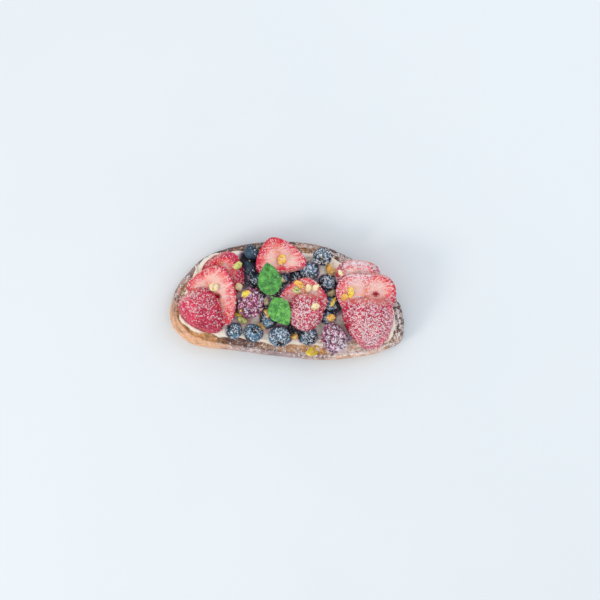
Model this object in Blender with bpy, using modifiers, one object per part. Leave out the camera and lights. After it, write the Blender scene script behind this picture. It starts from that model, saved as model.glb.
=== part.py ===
"""Berry toast: a toasted slice of bread with whipped cream, fanned strawberry slices,
blueberries, two bramble berries, a mint sprig and chopped nuts.

+X runs along the slice, +Y across it and +Z up. The origin is on the surface that the
slice rests on, under the middle of the toast. Sizes are drawn in millimetres, and the
last step scales everything to metres.
"""

import math
import random
from dataclasses import dataclass

import bmesh
import bpy
from mathutils import Matrix, Vector, noise
from mathutils.bvhtree import BVHTree
from mathutils.geometry import delaunay_2d_cdt, intersect_point_line

MM = 0.001
GAP = 0.5           # air left between two pieces that touch
SKY = 200.0         # a height above everything
SEED = 7

# ---- bread -----------------------------------------------------------------------
# The crust's widest line, seen from above, clockwise from the left end.
BREAD_OUTLINE = (
    (-77.1, -10.4), (-73.2, 6.5), (-64.1, 18.2), (-52.8, 28.0), (-28.5, 35.8),
    (2.3, 37.7), (28.6, 33.2), (54.6, 18.8), (71.1, 2.3), (76.8, -14.2),
    (75.0, -27.6), (65.8, -32.9), (55.2, -36.8), (30.3, -40.0), (1.9, -38.7),
    (-31.0, -34.5), (-60.2, -30.4), (-72.9, -21.2),
)
SPINE = (Vector((-42.0, -2.0)), Vector((40.0, -5.0)))  # the outline is inset towards it
BREAD_SIDES = 88
CRUMB_Z = 14.8      # the cut face of the crumb
LIP_Z = 15.5        # the crust's rim, a little proud of the crumb
BULGE_Z = 6.2       # the height of the crust's widest line
FOOT_INSET = 3.4    # how far in the flat bottom starts
CRUST_STEPS = 4     # rings from the widest line up to the rim
CRUMB_STEPS = (1.3, 4.0, 7.5)  # rings of exposed crumb, in from the rim
CRUST_BAND = 3.5    # how wide the crust shows from above
# (x, y, reach, wider by) where more or less of the crust shows
CRUST_BUMPS = ((-68.0, -20.0, 20.0, 2.6), (76.0, -12.0, 16.0, 1.0), (-46.0, 30.0, 16.0, -0.7))
CRUST_GRAIN = 0.16  # dents of the crust for each millimetre along it
CRUST_ROUGHNESS = 0.45
CRUMB_GRAIN = 0.3
CRUMB_DIPS = 0.7
SOLE_ANGLES = (-55, -28)  # rings between the flat bottom and the widest line, in degrees

# ---- cream -----------------------------------------------------------------------
CREAM_FLOOR = CRUMB_Z + 0.35
CREAM_INSET = 6.9
# (x, y, reach, further in by) where the cream's edge comes near the crust or stays back
CREAM_BUMPS = (
    (-48.0, 26.0, 17.0, -3.0), (-70.0, -12.0, 9.0, -0.6), (72.0, -12.0, 12.0, -1.0),
    (66.0, -28.0, 8.0, -1.6), (14.0, -37.0, 11.0, 4.2), (44.0, -37.0, 15.0, 4.0),
    (-30.0, -33.0, 10.0, 2.6), (-6.0, -36.0, 6.0, -1.2), (20.0, 33.0, 9.0, -1.4),
    (-58.0, -26.0, 12.0, 1.8),
)
CREAM_THICKNESS = 4.0
# (x, y, reach, higher by): the cream is heaped where a slice leans on it
CREAM_HEAPS = (
    (-41.0, 19.0, 9.0, 9.0), (-50.0, 4.0, 9.0, 6.0), (10.0, 0.0, 10.0, 9.0),
    (46.0, 13.0, 9.0, 9.0), (52.0, -2.0, 11.0, 6.0), (-3.0, 22.0, 8.0, 7.0),
    (-12.5, 2.0, 5.0, 4.0),
)
CREAM_WAVES = ((0.8, 0.52), (0.5, 1.31))  # its edge: how far in, radians for each step
CREAM_SIDES = 96
CREAM_ROUND = 3.0   # how far in from its edge it is rounded
CREAM_EDGE = 0.3    # thickness at the edge, as a share of the full one
CREAM_LEAST = 0.3   # what is left of it under the deepest fruit
CREAM_MESH = 3.1    # spacing of the points of its top
PRESS_REACH = 0.95  # how far round a point the fruit presses it down, in mesh spacings
REST_Z = CREAM_FLOOR + 2.4  # how deep the fruit is pressed into the cream


@dataclass
class Strawberry:
    """A piece cut lengthwise from a hulled strawberry, and how it lies."""

    name: str
    x: float            # middle of the piece, seen from above
    y: float
    length: float       # the whole strawberry
    width: float
    low_cut: float      # the two cuts, as a share of half the width from its axis
    high_cut: float     # 1 or more leaves the skin on
    tip: float          # the way the tip points, in degrees from +X
    downhill: float     # the way the piece slopes down, in degrees from +X
    lean: float
    skew: float = 0.0   # how far the tip swings sideways
    taper: float = 0.7  # lower is blunter
    shoulder: float = 0.60  # lower has its widest place nearer the stem end


STRAWBERRIES = (
    Strawberry("strawberry_left_rear", -41.2, 17.0, 31.5, 29.6, 0.40, 0.70, -58, -124, 15, 0.5, 0.52),
    Strawberry("strawberry_left_middle", -48.3, 2.4, 38.5, 31.0, -0.12, 0.12, -58, -124, 17, -1.5, 0.5),
    Strawberry("strawberry_left_front", -55.8, -7.4, 34.0, 28.0, 0.26, 1.2, -55, -124, 18, 1.0, 0.50),
    Strawberry("strawberry_top", -3.6, 27.8, 25.0, 33.0, -0.10, 0.14, 98, 92, 21, 1.5, 0.62, 0.45),
    Strawberry("strawberry_centre_rear", 10.8, -0.2, 29.0, 30.6, -0.14, 0.12, -97, -86, 10, -0.6, 0.58, 1.10),
    Strawberry("strawberry_centre_front", 12.1, -8.5, 24.8, 24.5, 0.26, 1.2, -100, -86, 10, 0.3, 0.36, 0.85),
    Strawberry("strawberry_right_rear", 46.0, 11.4, 30.5, 31.0, 0.35, 0.66, -96, -88, 16, 0.0, 0.5),
    Strawberry("strawberry_right_middle", 51.2, -1.6, 37.0, 38.5, -0.10, 0.10, -92, -88, 16, 1.0, 0.5),
    Strawberry("strawberry_right_front", 52.6, -16.4, 37.5, 35.4, 0.28, 1.2, -93, -88, 17, 2.0, 0.54),
)
STRAWBERRY_SIDES = 22
STRAWBERRY_RINGS = 12
STRAWBERRY_UNEVEN = 0.035
CUT_RIM = 0.7       # the flat rim of a cut face, inside which it sinks
CORE_INSET = 0.30   # how far the sunk part is drawn in towards the core
CORE_DEPTH = 0.5


@dataclass
class Blueberry:
    """A blueberry, where it sits, and which way its crown points."""

    x: float
    y: float
    diameter: float
    sink: float         # how far its foot is below the rest height
    crown_turn: float
    crown_tilt: float


BLUEBERRIES = (
    Blueberry(-22.8, 30.2, 10.4, 0.0, 40, 60),
    Blueberry(-24.2, 20.2, 10.0, 0.8, 200, 75),
    Blueberry(23.0, 27.2, 12.3, -1.2, 250, 35),
    Blueberry(14.6, 18.0, 12.2, 1.4, 300, 70),
    Blueberry(-2.8, 13.9, 8.2, 1.6, 20, 80),
    Blueberry(5.8, 13.7, 8.0, 1.6, 150, 80),
    Blueberry(26.6, 11.0, 10.4, 1.2, 80, 65),
    Blueberry(29.0, -3.4, 9.0, 0.6, 330, 40),
    Blueberry(26.8, -12.0, 8.4, 0.9, 200, 70),
    Blueberry(-34.2, -20.8, 11.0, 0.0, 130, 55),
    Blueberry(-22.0, -22.2, 12.2, 0.3, 60, 30),
    Blueberry(-4.8, -24.4, 14.0, 0.4, 280, 45),
    Blueberry(14.0, -24.4, 11.6, 1.6, 340, 70),
    Blueberry(-12.2, -13.4, 10.0, 1.2, 180, 75),
    Blueberry(-19.8, 12.6, 8.2, 1.6, 90, 80),
)
BLUEBERRY_SIDES = 11
BLUEBERRY_FLATNESS = 0.88
# (radius, height) of half a blueberry as shares of its radius, from the crown down
BLUEBERRY_PROFILE = ((0.0, 0.70), (0.26, 0.74), (0.36, 0.92), (0.52, 0.83)) + tuple(
    (math.sin(math.radians(a)), math.cos(math.radians(a))) for a in (55, 79, 104, 131, 157)
) + ((0.0, -1.0),)


@dataclass
class Bramble:
    """A berry of many small round beads, lying on its side."""

    name: str
    x: float
    y: float
    length: float
    width: float
    height: float
    tip: float
    beads: int
    bead: float
    cone: float         # how much narrower the tip is than the foot


BRAMBLES = (
    Bramble("bramble_left", -23.0, -2.6, 19.8, 16.2, 14.5, 75, 34, 5.1, 0.10),
    Bramble("bramble_right", 30.4, -25.2, 19.8, 16.2, 14.0, 107, 34, 5.1, 0.24),
)
BEAD_CORE = 0.36    # how far a bead's middle lies inside the surface, in bead diameters
BRAMBLE_KEEP = 0.62  # the share of the joined beads' faces that is kept


@dataclass
class Leaf:
    """A mint leaf, from its base to its tip, curved over what it lies on."""

    name: str
    base_x: float
    base_y: float
    length: float
    width: float
    points_to: float
    rise: float         # degrees that it climbs from base to tip
    roll: float         # degrees that its left edge is lifted
    curl: float


LEAVES = (
    Leaf("mint_leaf_upper", -9.8, 2.4, 21.5, 15.8, 97, 13, 2, 1.0),
    Leaf("mint_leaf_lower", -8.4, 0.4, 19.5, 16.0, -62, 3, 19, 1.4),
)
LEAF_THICKNESS = 0.8
LEAF_ROWS = 11
LEAF_COLUMNS = 6
LEAF_FOLD = 0.16    # how steeply each half rises from the midrib
LEAF_TOOTH = 0.90   # width of the notches between the teeth, as a share
LEAF_RIPPLE = 0.35
LEAF_RIPPLES = 19   # radians of ripple along the leaf
# the stem's way up to the leaves, with heights from the lower leaf's base
STEM = ((-10.4, 1.8, -6.4), (-10.1, 1.6, -4.6), (-9.5, 1.2, -2.8), (-9.1, 1.0, -1.7))
STEM_RADIUS = 0.65


@dataclass
class Nut:
    """A chopped piece of nut and what it is pressed into."""

    x: float
    y: float
    length: float
    width: float
    turn: float
    host: str


NUTS = (
    Nut(-32.0, 21.6, 5.2, 4.2, 20, "strawberry_left_rear"),
    Nut(-47.4, 8.3, 6.4, 4.8, -30, "strawberry_left_middle"),
    Nut(-2.8, 25.4, 6.2, 4.6, 60, "strawberry_top"),
    Nut(-26.0, 2.8, 5.0, 4.4, 10, "bramble_left"),
    Nut(-31.2, 8.0, 5.0, 4.0, 80, "strawberry_left_rear"),
    Nut(-13.4, -1.6, 4.2, 3.2, 70, "cream"),
    Nut(-13.0, -9.8, 6.0, 3.6, 100, "blueberry_14"),
    Nut(-31.6, -9.6, 4.2, 3.0, 0, "cream"),
    Nut(-28.8, -13.6, 5.6, 3.8, -25, "cream"),
    Nut(-16.2, -17.6, 5.4, 3.0, -40, "cream"),
    Nut(-2.6, 12.6, 3.6, 3.0, 0, "blueberry_05"),
    Nut(8.3, 9.6, 6.2, 3.6, -30, "strawberry_centre_rear"),
    Nut(6.0, 6.2, 6.0, 3.2, -40, "strawberry_centre_rear"),
    Nut(13.8, 7.0, 5.0, 3.4, 80, "strawberry_centre_rear"),
    Nut(18.6, 7.4, 5.0, 3.2, 40, "strawberry_centre_rear"),
    Nut(18.2, -4.6, 5.0, 4.2, 15, "strawberry_centre_front"),
    Nut(27.6, 19.4, 7.4, 3.8, 100, "cream"),
    Nut(29.6, 18.0, 4.2, 3.2, 0, "cream"),
    Nut(35.4, 17.2, 5.0, 4.0, 30, "strawberry_right_rear"),
    Nut(29.0, 3.8, 5.8, 4.0, 70, "cream"),
    Nut(29.8, -2.0, 5.4, 2.0, 65, "blueberry_08"),
    Nut(28.6, -12.2, 4.6, 4.0, 10, "blueberry_09"),
    Nut(41.2, 4.4, 6.0, 3.8, 80, "strawberry_right_middle"),
    Nut(37.6, 1.2, 4.6, 4.0, 20, "strawberry_right_middle"),
    Nut(5.0, -25.0, 4.6, 4.0, 30, "cream"),
    Nut(16.4, -34.8, 7.4, 5.6, -20, "bread_slice"),
)
NUT_HEIGHT = 0.62   # of its width
NUT_LIFT = 0.12     # how far its middle stands above the face, as a share of its width
NUT_CORNERS = 14

# ---- finishes: base colour (sRGB hex), roughness -----------------------------------
FINISHES = {
    "toasted_bread": ("B98A5E", 0.85),
    "whipped_cream": ("F4E9D8", 0.5),
    "strawberry": ("C9303F", 0.4),
    "blueberry": ("43566E", 0.6),
    "bramble": ("7E3F5C", 0.5),
    "mint": ("4E9A47", 0.55),
    "nut": ("E3BE63", 0.7),
}

PARTS = bpy.data.collections.new("berry_toast")
HELPERS = bpy.data.collections.new("nut_bits")


# ---- shared helpers --------------------------------------------------------------
def clear_scene():
    """Removes what the scene starts with and links the two collections."""
    for obj in list(bpy.data.objects):
        bpy.data.objects.remove(obj)
    for collection in (PARTS, HELPERS):
        bpy.context.scene.collection.children.link(collection)


def linear(hex_colour):
    """A linear RGBA colour from an sRGB hex value."""
    shares = (int(hex_colour[i : i + 2], 16) / 255 for i in (0, 2, 4))
    return [s / 12.92 if s <= 0.04045 else ((s + 0.055) / 1.055) ** 2.4 for s in shares] + [1.0]


def finish(name):
    """The material of that name, made on first use."""
    if name in bpy.data.materials:
        return bpy.data.materials[name]
    colour, roughness = FINISHES[name]
    material = bpy.data.materials.new(name)
    material.use_nodes = True
    shader = material.node_tree.nodes["Principled BSDF"]
    shader.inputs["Base Color"].default_value = linear(colour)
    shader.inputs["Roughness"].default_value = roughness
    shader.inputs["Metallic"].default_value = 0.0
    return material


def add_object(name, mesh, finish_name, collection=PARTS):
    """Links a new smooth-shaded object with its finish."""
    obj = bpy.data.objects.new(name, mesh)
    if not mesh.materials:
        mesh.materials.append(finish(finish_name))
    mesh.shade_smooth()
    mesh.set_sharp_from_angle(angle=math.radians(40))
    collection.objects.link(obj)
    return obj


def baked(obj):
    """The object's mesh with its modifiers applied; the object is removed."""
    graph = bpy.context.evaluated_depsgraph_get()
    mesh = bpy.data.meshes.new_from_object(obj.evaluated_get(graph))
    bpy.data.objects.remove(obj)
    return mesh


def apply_modifiers(obj):
    """Gives the object the mesh that its modifiers make, and removes them."""
    bpy.context.view_layer.update()
    graph = bpy.context.evaluated_depsgraph_get()
    mesh = bpy.data.meshes.new_from_object(obj.evaluated_get(graph))
    obj.modifiers.clear()
    obj.data = mesh


def join(host, bits):
    """Joins the bits to the host as one body and removes them."""
    bits_collection = bpy.data.collections.new("bits")
    HELPERS.children.link(bits_collection)
    for bit in bits:
        bits_collection.objects.link(bit)
    union = host.modifiers.new("Union", "BOOLEAN")
    union.operation = "UNION"
    union.operand_type = "COLLECTION"
    union.collection = bits_collection
    union.solver = "MANIFOLD"
    apply_modifiers(host)
    for bit in bits:
        bpy.data.objects.remove(bit)
    bpy.data.collections.remove(bits_collection)


def turned(profile, sides):
    """A closed mesh turned about Z from (radius, height) points, top to bottom."""
    mesh = bpy.data.meshes.new("profile")
    points = [(radius, 0.0, height) for radius, height in profile]
    mesh.from_pydata(points, [(i, i + 1) for i in range(len(points) - 1)], [])
    obj = bpy.data.objects.new("turned", mesh)
    HELPERS.objects.link(obj)
    screw = obj.modifiers.new("Screw", "SCREW")
    screw.steps = screw.render_steps = sides
    screw.use_merge_vertices = True
    screw.merge_threshold = 0.0001
    return baked(obj)


def near(x, y, bumps):
    """The sum of smooth bumps (x, y, reach, amount) at a place."""
    return sum(
        amount * math.exp(-((x - cx) ** 2 + (y - cy) ** 2) / reach**2)
        for cx, cy, reach, amount in bumps
    )


def world_tree(objects):
    """One search tree over several placed objects, and the points to test them at."""
    bpy.context.view_layer.update()
    points = []
    middles = []
    faces = []
    for obj in objects:
        first = len(points)
        points.extend(obj.matrix_world @ v.co for v in obj.data.vertices)
        faces.extend([first + i for i in face.vertices] for face in obj.data.polygons)
        for edge in obj.data.edges:
            a, b = (points[first + i] for i in edge.vertices)
            middles.append((a + b) / 2)
    return BVHTree.FromPolygons(points, faces), points + middles


def top_of(tree, x, y):
    """The height of the highest face at a place, or None."""
    return getattr(tree.ray_cast(Vector((x, y, SKY)), Vector((0, 0, -1)))[0], "z", None)


def underside_of(tree, x, y):
    """The height of the lowest face at a place, or None."""
    return getattr(tree.ray_cast(Vector((x, y, -SKY)), Vector((0, 0, 1)))[0], "z", None)


def settle(obj, floor, below):
    """Sets the object down on a height, or higher on the objects that are in its way."""
    tree, points = world_tree([obj])
    lift = floor - min(p.z for p in points)
    if below:
        below_tree, below_points = world_tree(below)
        for p in points:
            top = top_of(below_tree, p.x, p.y)
            if top is not None:
                lift = max(lift, top + GAP - p.z)
        for p in below_points:
            underside = underside_of(tree, p.x, p.y)
            if underside is not None:
                lift = max(lift, p.z + GAP - underside)
    obj.location.z += lift
    while below and world_tree([obj])[0].overlap(below_tree):
        obj.location.z += GAP / 2


# ---- bread -----------------------------------------------------------------------
def smooth_outline(knots, count):
    """Evenly spaced points on the closed Catmull-Rom curve through the knots."""
    fine = []
    total = len(knots)
    for i in range(total):
        a, b, c, d = (Vector(knots[(i + k) % total]) for k in (-1, 0, 1, 2))
        for step in range(16):
            t = step / 16
            fine.append(
                0.5 * (2 * b + (c - a) * t + (2 * a - 5 * b + 4 * c - d) * t**2
                       + (3 * b - a - 3 * c + d) * t**3)
            )
    fine.append(fine[0])
    lengths = [0.0]
    for p, q in zip(fine, fine[1:]):
        lengths.append(lengths[-1] + (q - p).length)
    points = []
    k = 0
    for i in range(count):
        wanted = lengths[-1] * i / count
        while lengths[k + 1] < wanted:
            k += 1
        share = (wanted - lengths[k]) / (lengths[k + 1] - lengths[k])
        points.append(fine[k].lerp(fine[k + 1], share))
    return points


def inset(outline, distance):
    """The outline moved in towards the spine, by a number or a number for each point."""
    moved = []
    for i, p in enumerate(outline):
        nearest, share = intersect_point_line(p, *SPINE)
        nearest = SPINE[0].lerp(SPINE[1], min(max(share, 0.0), 1.0))
        step = distance[i] if isinstance(distance, list) else distance
        moved.append(p + (nearest - p).normalized() * step)
    return moved


def loft(rings):
    """A closed mesh through rings of points, with a flat cap on the first and last."""
    bm = bmesh.new()
    rows = [[bm.verts.new(p) for p in ring] for ring in rings]
    count = len(rows[0])
    for low, high in zip(rows, rows[1:]):
        for i in range(count):
            j = (i + 1) % count
            bm.faces.new((low[i], low[j], high[j], high[i]))
    bm.faces.new(rows[0])
    bm.faces.new(rows[-1])
    bmesh.ops.recalc_face_normals(bm, faces=bm.faces)
    mesh = bpy.data.meshes.new("loft")
    bm.to_mesh(mesh)
    bm.free()
    return mesh


def crust_band(p):
    """How far the crust's rim lies inside its widest line."""
    return CRUST_BAND + near(p.x, p.y, CRUST_BUMPS)


def crust_ring(outline, steps, height):
    """One ring of the crust, pushed in here and there so that it is uneven."""
    ring = inset(outline, steps)
    rough = [noise.noise(Vector((p.x, p.y, height * 2)) * CRUST_GRAIN) for p in ring]
    ring = inset(ring, [CRUST_ROUGHNESS * max(r, 0.0) for r in rough])
    return [(p.x, p.y, height) for p in ring]


def make_bread():
    """The slice: a bulging crust round a flat crumb with dips in it."""
    outline = smooth_outline(BREAD_OUTLINE, BREAD_SIDES)
    bands = [crust_band(p) for p in outline]
    rings = [[(p.x, p.y, 0.0) for p in inset(outline, FOOT_INSET)]]
    for angle in SOLE_ANGLES:
        turn = math.radians(angle)
        steps = [FOOT_INSET * (1 - math.cos(turn)) for _ in bands]
        rings.append(crust_ring(outline, steps, BULGE_Z * (1 + math.sin(turn))))
    for level in range(CRUST_STEPS):
        turn = math.pi / 2 * level / CRUST_STEPS
        steps = [band * (1 - math.cos(turn)) for band in bands]
        rings.append(crust_ring(outline, steps, BULGE_Z + (LIP_Z - BULGE_Z) * math.sin(turn)))
    rings.append([(p.x, p.y, LIP_Z) for p in inset(outline, bands)])
    for step in CRUMB_STEPS:
        ring = inset(outline, [band + step for band in bands])
        depth = 0.0 if step == CRUMB_STEPS[-1] else CRUMB_DIPS
        dips = [max(noise.noise(Vector((p.x, p.y, step)) * CRUMB_GRAIN), 0.0) for p in ring]
        rings.append([(p.x, p.y, CRUMB_Z - depth * dip) for p, dip in zip(ring, dips)])
    return add_object("bread_slice", loft(rings), "toasted_bread")


# ---- cream -----------------------------------------------------------------------
def inside(polygon, p):
    """Whether a point lies within a closed outline."""
    within = False
    for a, b in zip(polygon, polygon[1:] + polygon[:1]):
        if (a.y > p.y) != (b.y > p.y) and p.x < (b.x - a.x) * (p.y - a.y) / (b.y - a.y) + a.x:
            within = not within
    return within


def cream_relief(p):
    """The thickness of the cream as it was spread, before the fruit went on."""
    swirl = 0.55 * math.sin(p.x * 0.30 + 2.2 * math.sin(p.y * 0.13))
    lumps = 0.9 * noise.noise(Vector((p.x, p.y, 3.0)) * 0.11)
    return CREAM_THICKNESS + swirl + lumps + near(p.x, p.y, CREAM_HEAPS)


def pressed(tree, p, reach, height):
    """The height left under the fruit, looking at a place and at two circles round it."""
    looks = [(0.0, 0)] + [(reach * share, turn) for share in (0.5, 1.0) for turn in range(0, 360, 45)]
    for away, turn in looks:
        angle = math.radians(turn)
        under = underside_of(tree, p.x + away * math.cos(angle), p.y + away * math.sin(angle))
        if under is not None:
            height = min(height, under - GAP)
    return height


def cream_outline():
    """The cream's wavy edge, inside the crust."""
    outline = smooth_outline(BREAD_OUTLINE, CREAM_SIDES)
    steps = []
    for i, p in enumerate(outline):
        waves = sum(amount * math.sin(i * turn) for amount, turn in CREAM_WAVES)
        wanted = CREAM_INSET + near(p.x, p.y, CREAM_BUMPS) + waves
        steps.append(max(wanted, crust_band(p) + CRUMB_STEPS[0]))
    return inset(outline, steps)


def cream_points(edge):
    """The edge, one loop inside it, and an even triangular field of points."""
    points = edge + inset(edge, CREAM_ROUND / 2)
    field = inset(edge, CREAM_ROUND)
    row_step = CREAM_MESH * math.sqrt(3) / 2
    reach = max(max(abs(p.x), abs(p.y)) for p in edge)
    count = int(reach / row_step) + 1
    for row in range(-count, count):
        for column in range(-count, count):
            p = Vector((CREAM_MESH * (column + 0.5 * (row % 2)), row_step * row))
            if inside(field, p):
                points.append(p)
    return points


def make_cream(fruit):
    """The cream: an uneven layer with rounded edges and a dent under each fruit."""
    edge = cream_outline()
    loop = [(i, (i + 1) % CREAM_SIDES) for i in range(CREAM_SIDES)]
    flat, _, faces, *_ = delaunay_2d_cdt(cream_points(edge), loop, [], 1, 1e-5)
    tree, _ = world_tree(fruit)
    bm = bmesh.new()
    top = []
    for p in flat:
        share = min(min((p - q).length for q in edge) / CREAM_ROUND, 1.0)
        rounding = CREAM_EDGE + (1 - CREAM_EDGE) * math.sqrt(1 - (1 - share) ** 2)
        height = pressed(tree, p, CREAM_MESH * PRESS_REACH, CREAM_FLOOR + cream_relief(p) * rounding)
        top.append(bm.verts.new((p.x, p.y, max(height, CREAM_FLOOR + CREAM_LEAST))))
    for face in faces:
        bm.faces.new([top[i] for i in face])
    rim = [e for e in bm.edges if e.is_boundary]
    wall = bmesh.ops.extrude_edge_only(bm, edges=rim)["geom"]
    for v in wall:
        if isinstance(v, bmesh.types.BMVert):
            v.co.z = CREAM_FLOOR
    bmesh.ops.contextual_create(bm, geom=[e for e in bm.edges if e.is_boundary])
    bmesh.ops.recalc_face_normals(bm, faces=bm.faces)
    mesh = bpy.data.meshes.new("cream")
    bm.to_mesh(mesh)
    bm.free()
    return add_object("cream", mesh, "whipped_cream")


# ---- fruit -----------------------------------------------------------------------
def strawberry_profile(spec):
    """(radius, height) points from the stem end, at the top, down to the tip."""
    points = []
    for i in range(STRAWBERRY_RINGS + 1):
        along = (1 - math.cos(math.pi * i / STRAWBERRY_RINGS)) / 2
        radius = 0.0
        if 0 < i < STRAWBERRY_RINGS:
            radius = spec.width / 2 * math.sin(math.pi * along**spec.shoulder) ** spec.taper
        points.append((radius, spec.length * (0.5 - along)))
    return points


def cut(bm, height, keep_above):
    """Cuts the body level at a height, fills the cut and sinks it towards its core."""
    geometry = bm.verts[:] + bm.edges[:] + bm.faces[:]
    bmesh.ops.bisect_plane(
        bm, geom=geometry, plane_co=(0, 0, height), plane_no=(0, 0, 1),
        clear_outer=not keep_above, clear_inner=keep_above,
    )
    filled = bmesh.ops.contextual_create(bm, geom=[e for e in bm.edges if e.is_boundary])["faces"]
    if keep_above:
        return
    bmesh.ops.inset_region(bm, faces=filled, thickness=CUT_RIM)
    core = [v for face in filled for v in face.verts]
    middle = sum((v.co for v in core), Vector()) / len(core)
    for v in core:
        v.co = v.co.lerp(middle, CORE_INSET)
        v.co.z -= CORE_DEPTH


def make_strawberry(spec, number):
    """A strawberry cut lengthwise, leaning the way its fan leans."""
    mesh = turned(strawberry_profile(spec), STRAWBERRY_SIDES)
    bm = bmesh.new()
    bm.from_mesh(mesh)
    bmesh.ops.rotate(bm, verts=bm.verts, matrix=Matrix.Rotation(math.radians(-90), 3, "X"))
    half = spec.width / 2
    for v in bm.verts:
        v.co *= 1 + STRAWBERRY_UNEVEN * noise.noise(v.co * 0.09 + Vector((number * 9.0, 0, 0)))
        towards_tip = 0.5 - v.co.y / spec.length
        v.co.x += spec.skew * towards_tip**2 * 2
    cut(bm, spec.low_cut * half, keep_above=True)
    if spec.high_cut < 1:
        cut(bm, spec.high_cut * half, keep_above=False)
    bmesh.ops.recalc_face_normals(bm, faces=bm.faces)
    low, high = (Vector([f(v.co[k] for v in bm.verts) for k in range(3)]) for f in (min, max))
    bmesh.ops.translate(bm, verts=bm.verts, vec=-(low + high) / 2)
    bm.to_mesh(mesh)
    bm.free()
    obj = add_object(spec.name, mesh, "strawberry")
    downhill = math.radians(spec.downhill)
    across = Vector((-math.sin(downhill), math.cos(downhill), 0))
    lean = Matrix.Rotation(math.radians(spec.lean), 4, across)
    turn = Matrix.Rotation(math.radians(spec.tip + 90), 4, "Z")
    lay = lean @ turn
    corners = [lay @ v.co for v in mesh.vertices]
    middle = [(min(c[k] for c in corners) + max(c[k] for c in corners)) / 2 for k in (0, 1)]
    obj.matrix_world = Matrix.Translation((spec.x - middle[0], spec.y - middle[1], 0)) @ lay
    return obj


def make_blueberries():
    """The blueberries, which share one turned form with a crown."""
    mesh = turned(BLUEBERRY_PROFILE, BLUEBERRY_SIDES)
    berries = []
    for number, spec in enumerate(BLUEBERRIES, 1):
        berry = add_object(f"blueberry_{number:02d}", mesh.copy(), "blueberry")
        radius = spec.diameter / 2
        size = Matrix.Diagonal((radius, radius, radius * BLUEBERRY_FLATNESS, 1))
        tilt = Matrix.Rotation(math.radians(spec.crown_tilt), 4, "Y")
        turn = Matrix.Rotation(math.radians(spec.crown_turn), 4, "Z")
        berry.data.transform(turn @ tilt @ size)
        berry.location = (spec.x, spec.y, 0)
        settle(berry, REST_Z - spec.sink, [])
        berries.append(berry)
    return berries


def make_bramble(spec):
    """A core with beads set round it on a spiral, joined to one body."""
    sizes = Vector((spec.width, spec.length, spec.height))
    half = sizes / 2 - Vector((1, 1, 1)) * spec.bead * BEAD_CORE
    bm = bmesh.new()
    bmesh.ops.create_uvsphere(bm, u_segments=12, v_segments=7, radius=1)
    mesh = bpy.data.meshes.new(spec.name)
    for v in bm.verts:
        v.co = Vector((v.co[k] * half[k] for k in range(3)))
        v.co.x *= 1 - spec.cone * v.co.y / half.y
    bm.to_mesh(mesh)
    bm.free()
    berry = add_object(spec.name, mesh, "bramble")
    beads = []
    for i in range(spec.beads):
        along = 1 - 2 * (i + 0.5) / spec.beads
        ring = math.sqrt(1 - along**2)
        angle = i * math.pi * (3 - math.sqrt(5))
        place = Vector((ring * math.cos(angle), along, ring * math.sin(angle)))
        place = Vector((place[k] * half[k] for k in range(3)))
        place.x *= 1 - spec.cone * place.y / half.y
        bpy.ops.mesh.primitive_uv_sphere_add(segments=6, ring_count=4, radius=spec.bead / 2)
        bead = bpy.context.object
        for collection in list(bead.users_collection):
            collection.objects.unlink(bead)
        HELPERS.objects.link(bead)
        bead.location = place
        bead.rotation_euler = place.to_track_quat("Z", "Y").to_euler()
        beads.append(bead)
    join(berry, beads)
    berry.modifiers.new("Decimate", "DECIMATE").ratio = BRAMBLE_KEEP
    apply_modifiers(berry)
    berry.matrix_world = Matrix.Translation((spec.x, spec.y, 0)) @ Matrix.Rotation(
        math.radians(spec.tip - 90), 4, "Z"
    )
    settle(berry, REST_Z, [])
    return berry


# ---- mint ------------------------------------------------------------------------
def leaf_half_width(share):
    """The half width of a leaf as a share of its widest, from base (0) to tip (1)."""
    return max(math.sin(math.pi * share**0.80) ** 0.75, 0.05) if 0 < share < 1 else 0.05


def make_leaf(spec):
    """A toothed, folded leaf, thickened from one curved sheet."""
    bm = bmesh.new()
    bmesh.ops.create_grid(bm, x_segments=LEAF_COLUMNS, y_segments=LEAF_ROWS, size=1.0)
    for v in bm.verts:
        across, along = v.co.x, (v.co.y + 1) / 2
        row = round(along * LEAF_ROWS)
        tooth = LEAF_TOOTH if abs(across) > 0.99 and row % 2 else 1.0
        side = across * spec.width / 2 * leaf_half_width(along) * tooth
        ripple = LEAF_RIPPLE * math.sin(along * LEAF_RIPPLES) * across**2
        v.co = (
            side,
            along * spec.length,
            LEAF_FOLD * abs(side) + ripple - spec.curl * (2 * along - 1) ** 2,
        )
    bmesh.ops.triangulate(bm, faces=bm.faces, quad_method="FIXED")
    mesh = bpy.data.meshes.new(spec.name)
    bm.to_mesh(mesh)
    bm.free()
    sheet = bpy.data.objects.new("sheet", mesh)
    HELPERS.objects.link(sheet)
    solidify = sheet.modifiers.new("Solidify", "SOLIDIFY")
    solidify.thickness = LEAF_THICKNESS
    leaf = add_object(spec.name, baked(sheet), "mint")
    leaf.matrix_world = (
        Matrix.Translation((spec.base_x, spec.base_y, 0))
        @ Matrix.Rotation(math.radians(spec.points_to - 90), 4, "Z")
        @ Matrix.Rotation(math.radians(spec.rise), 4, "X")
        @ Matrix.Rotation(math.radians(spec.roll), 4, "Y")
    )
    return leaf


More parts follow.
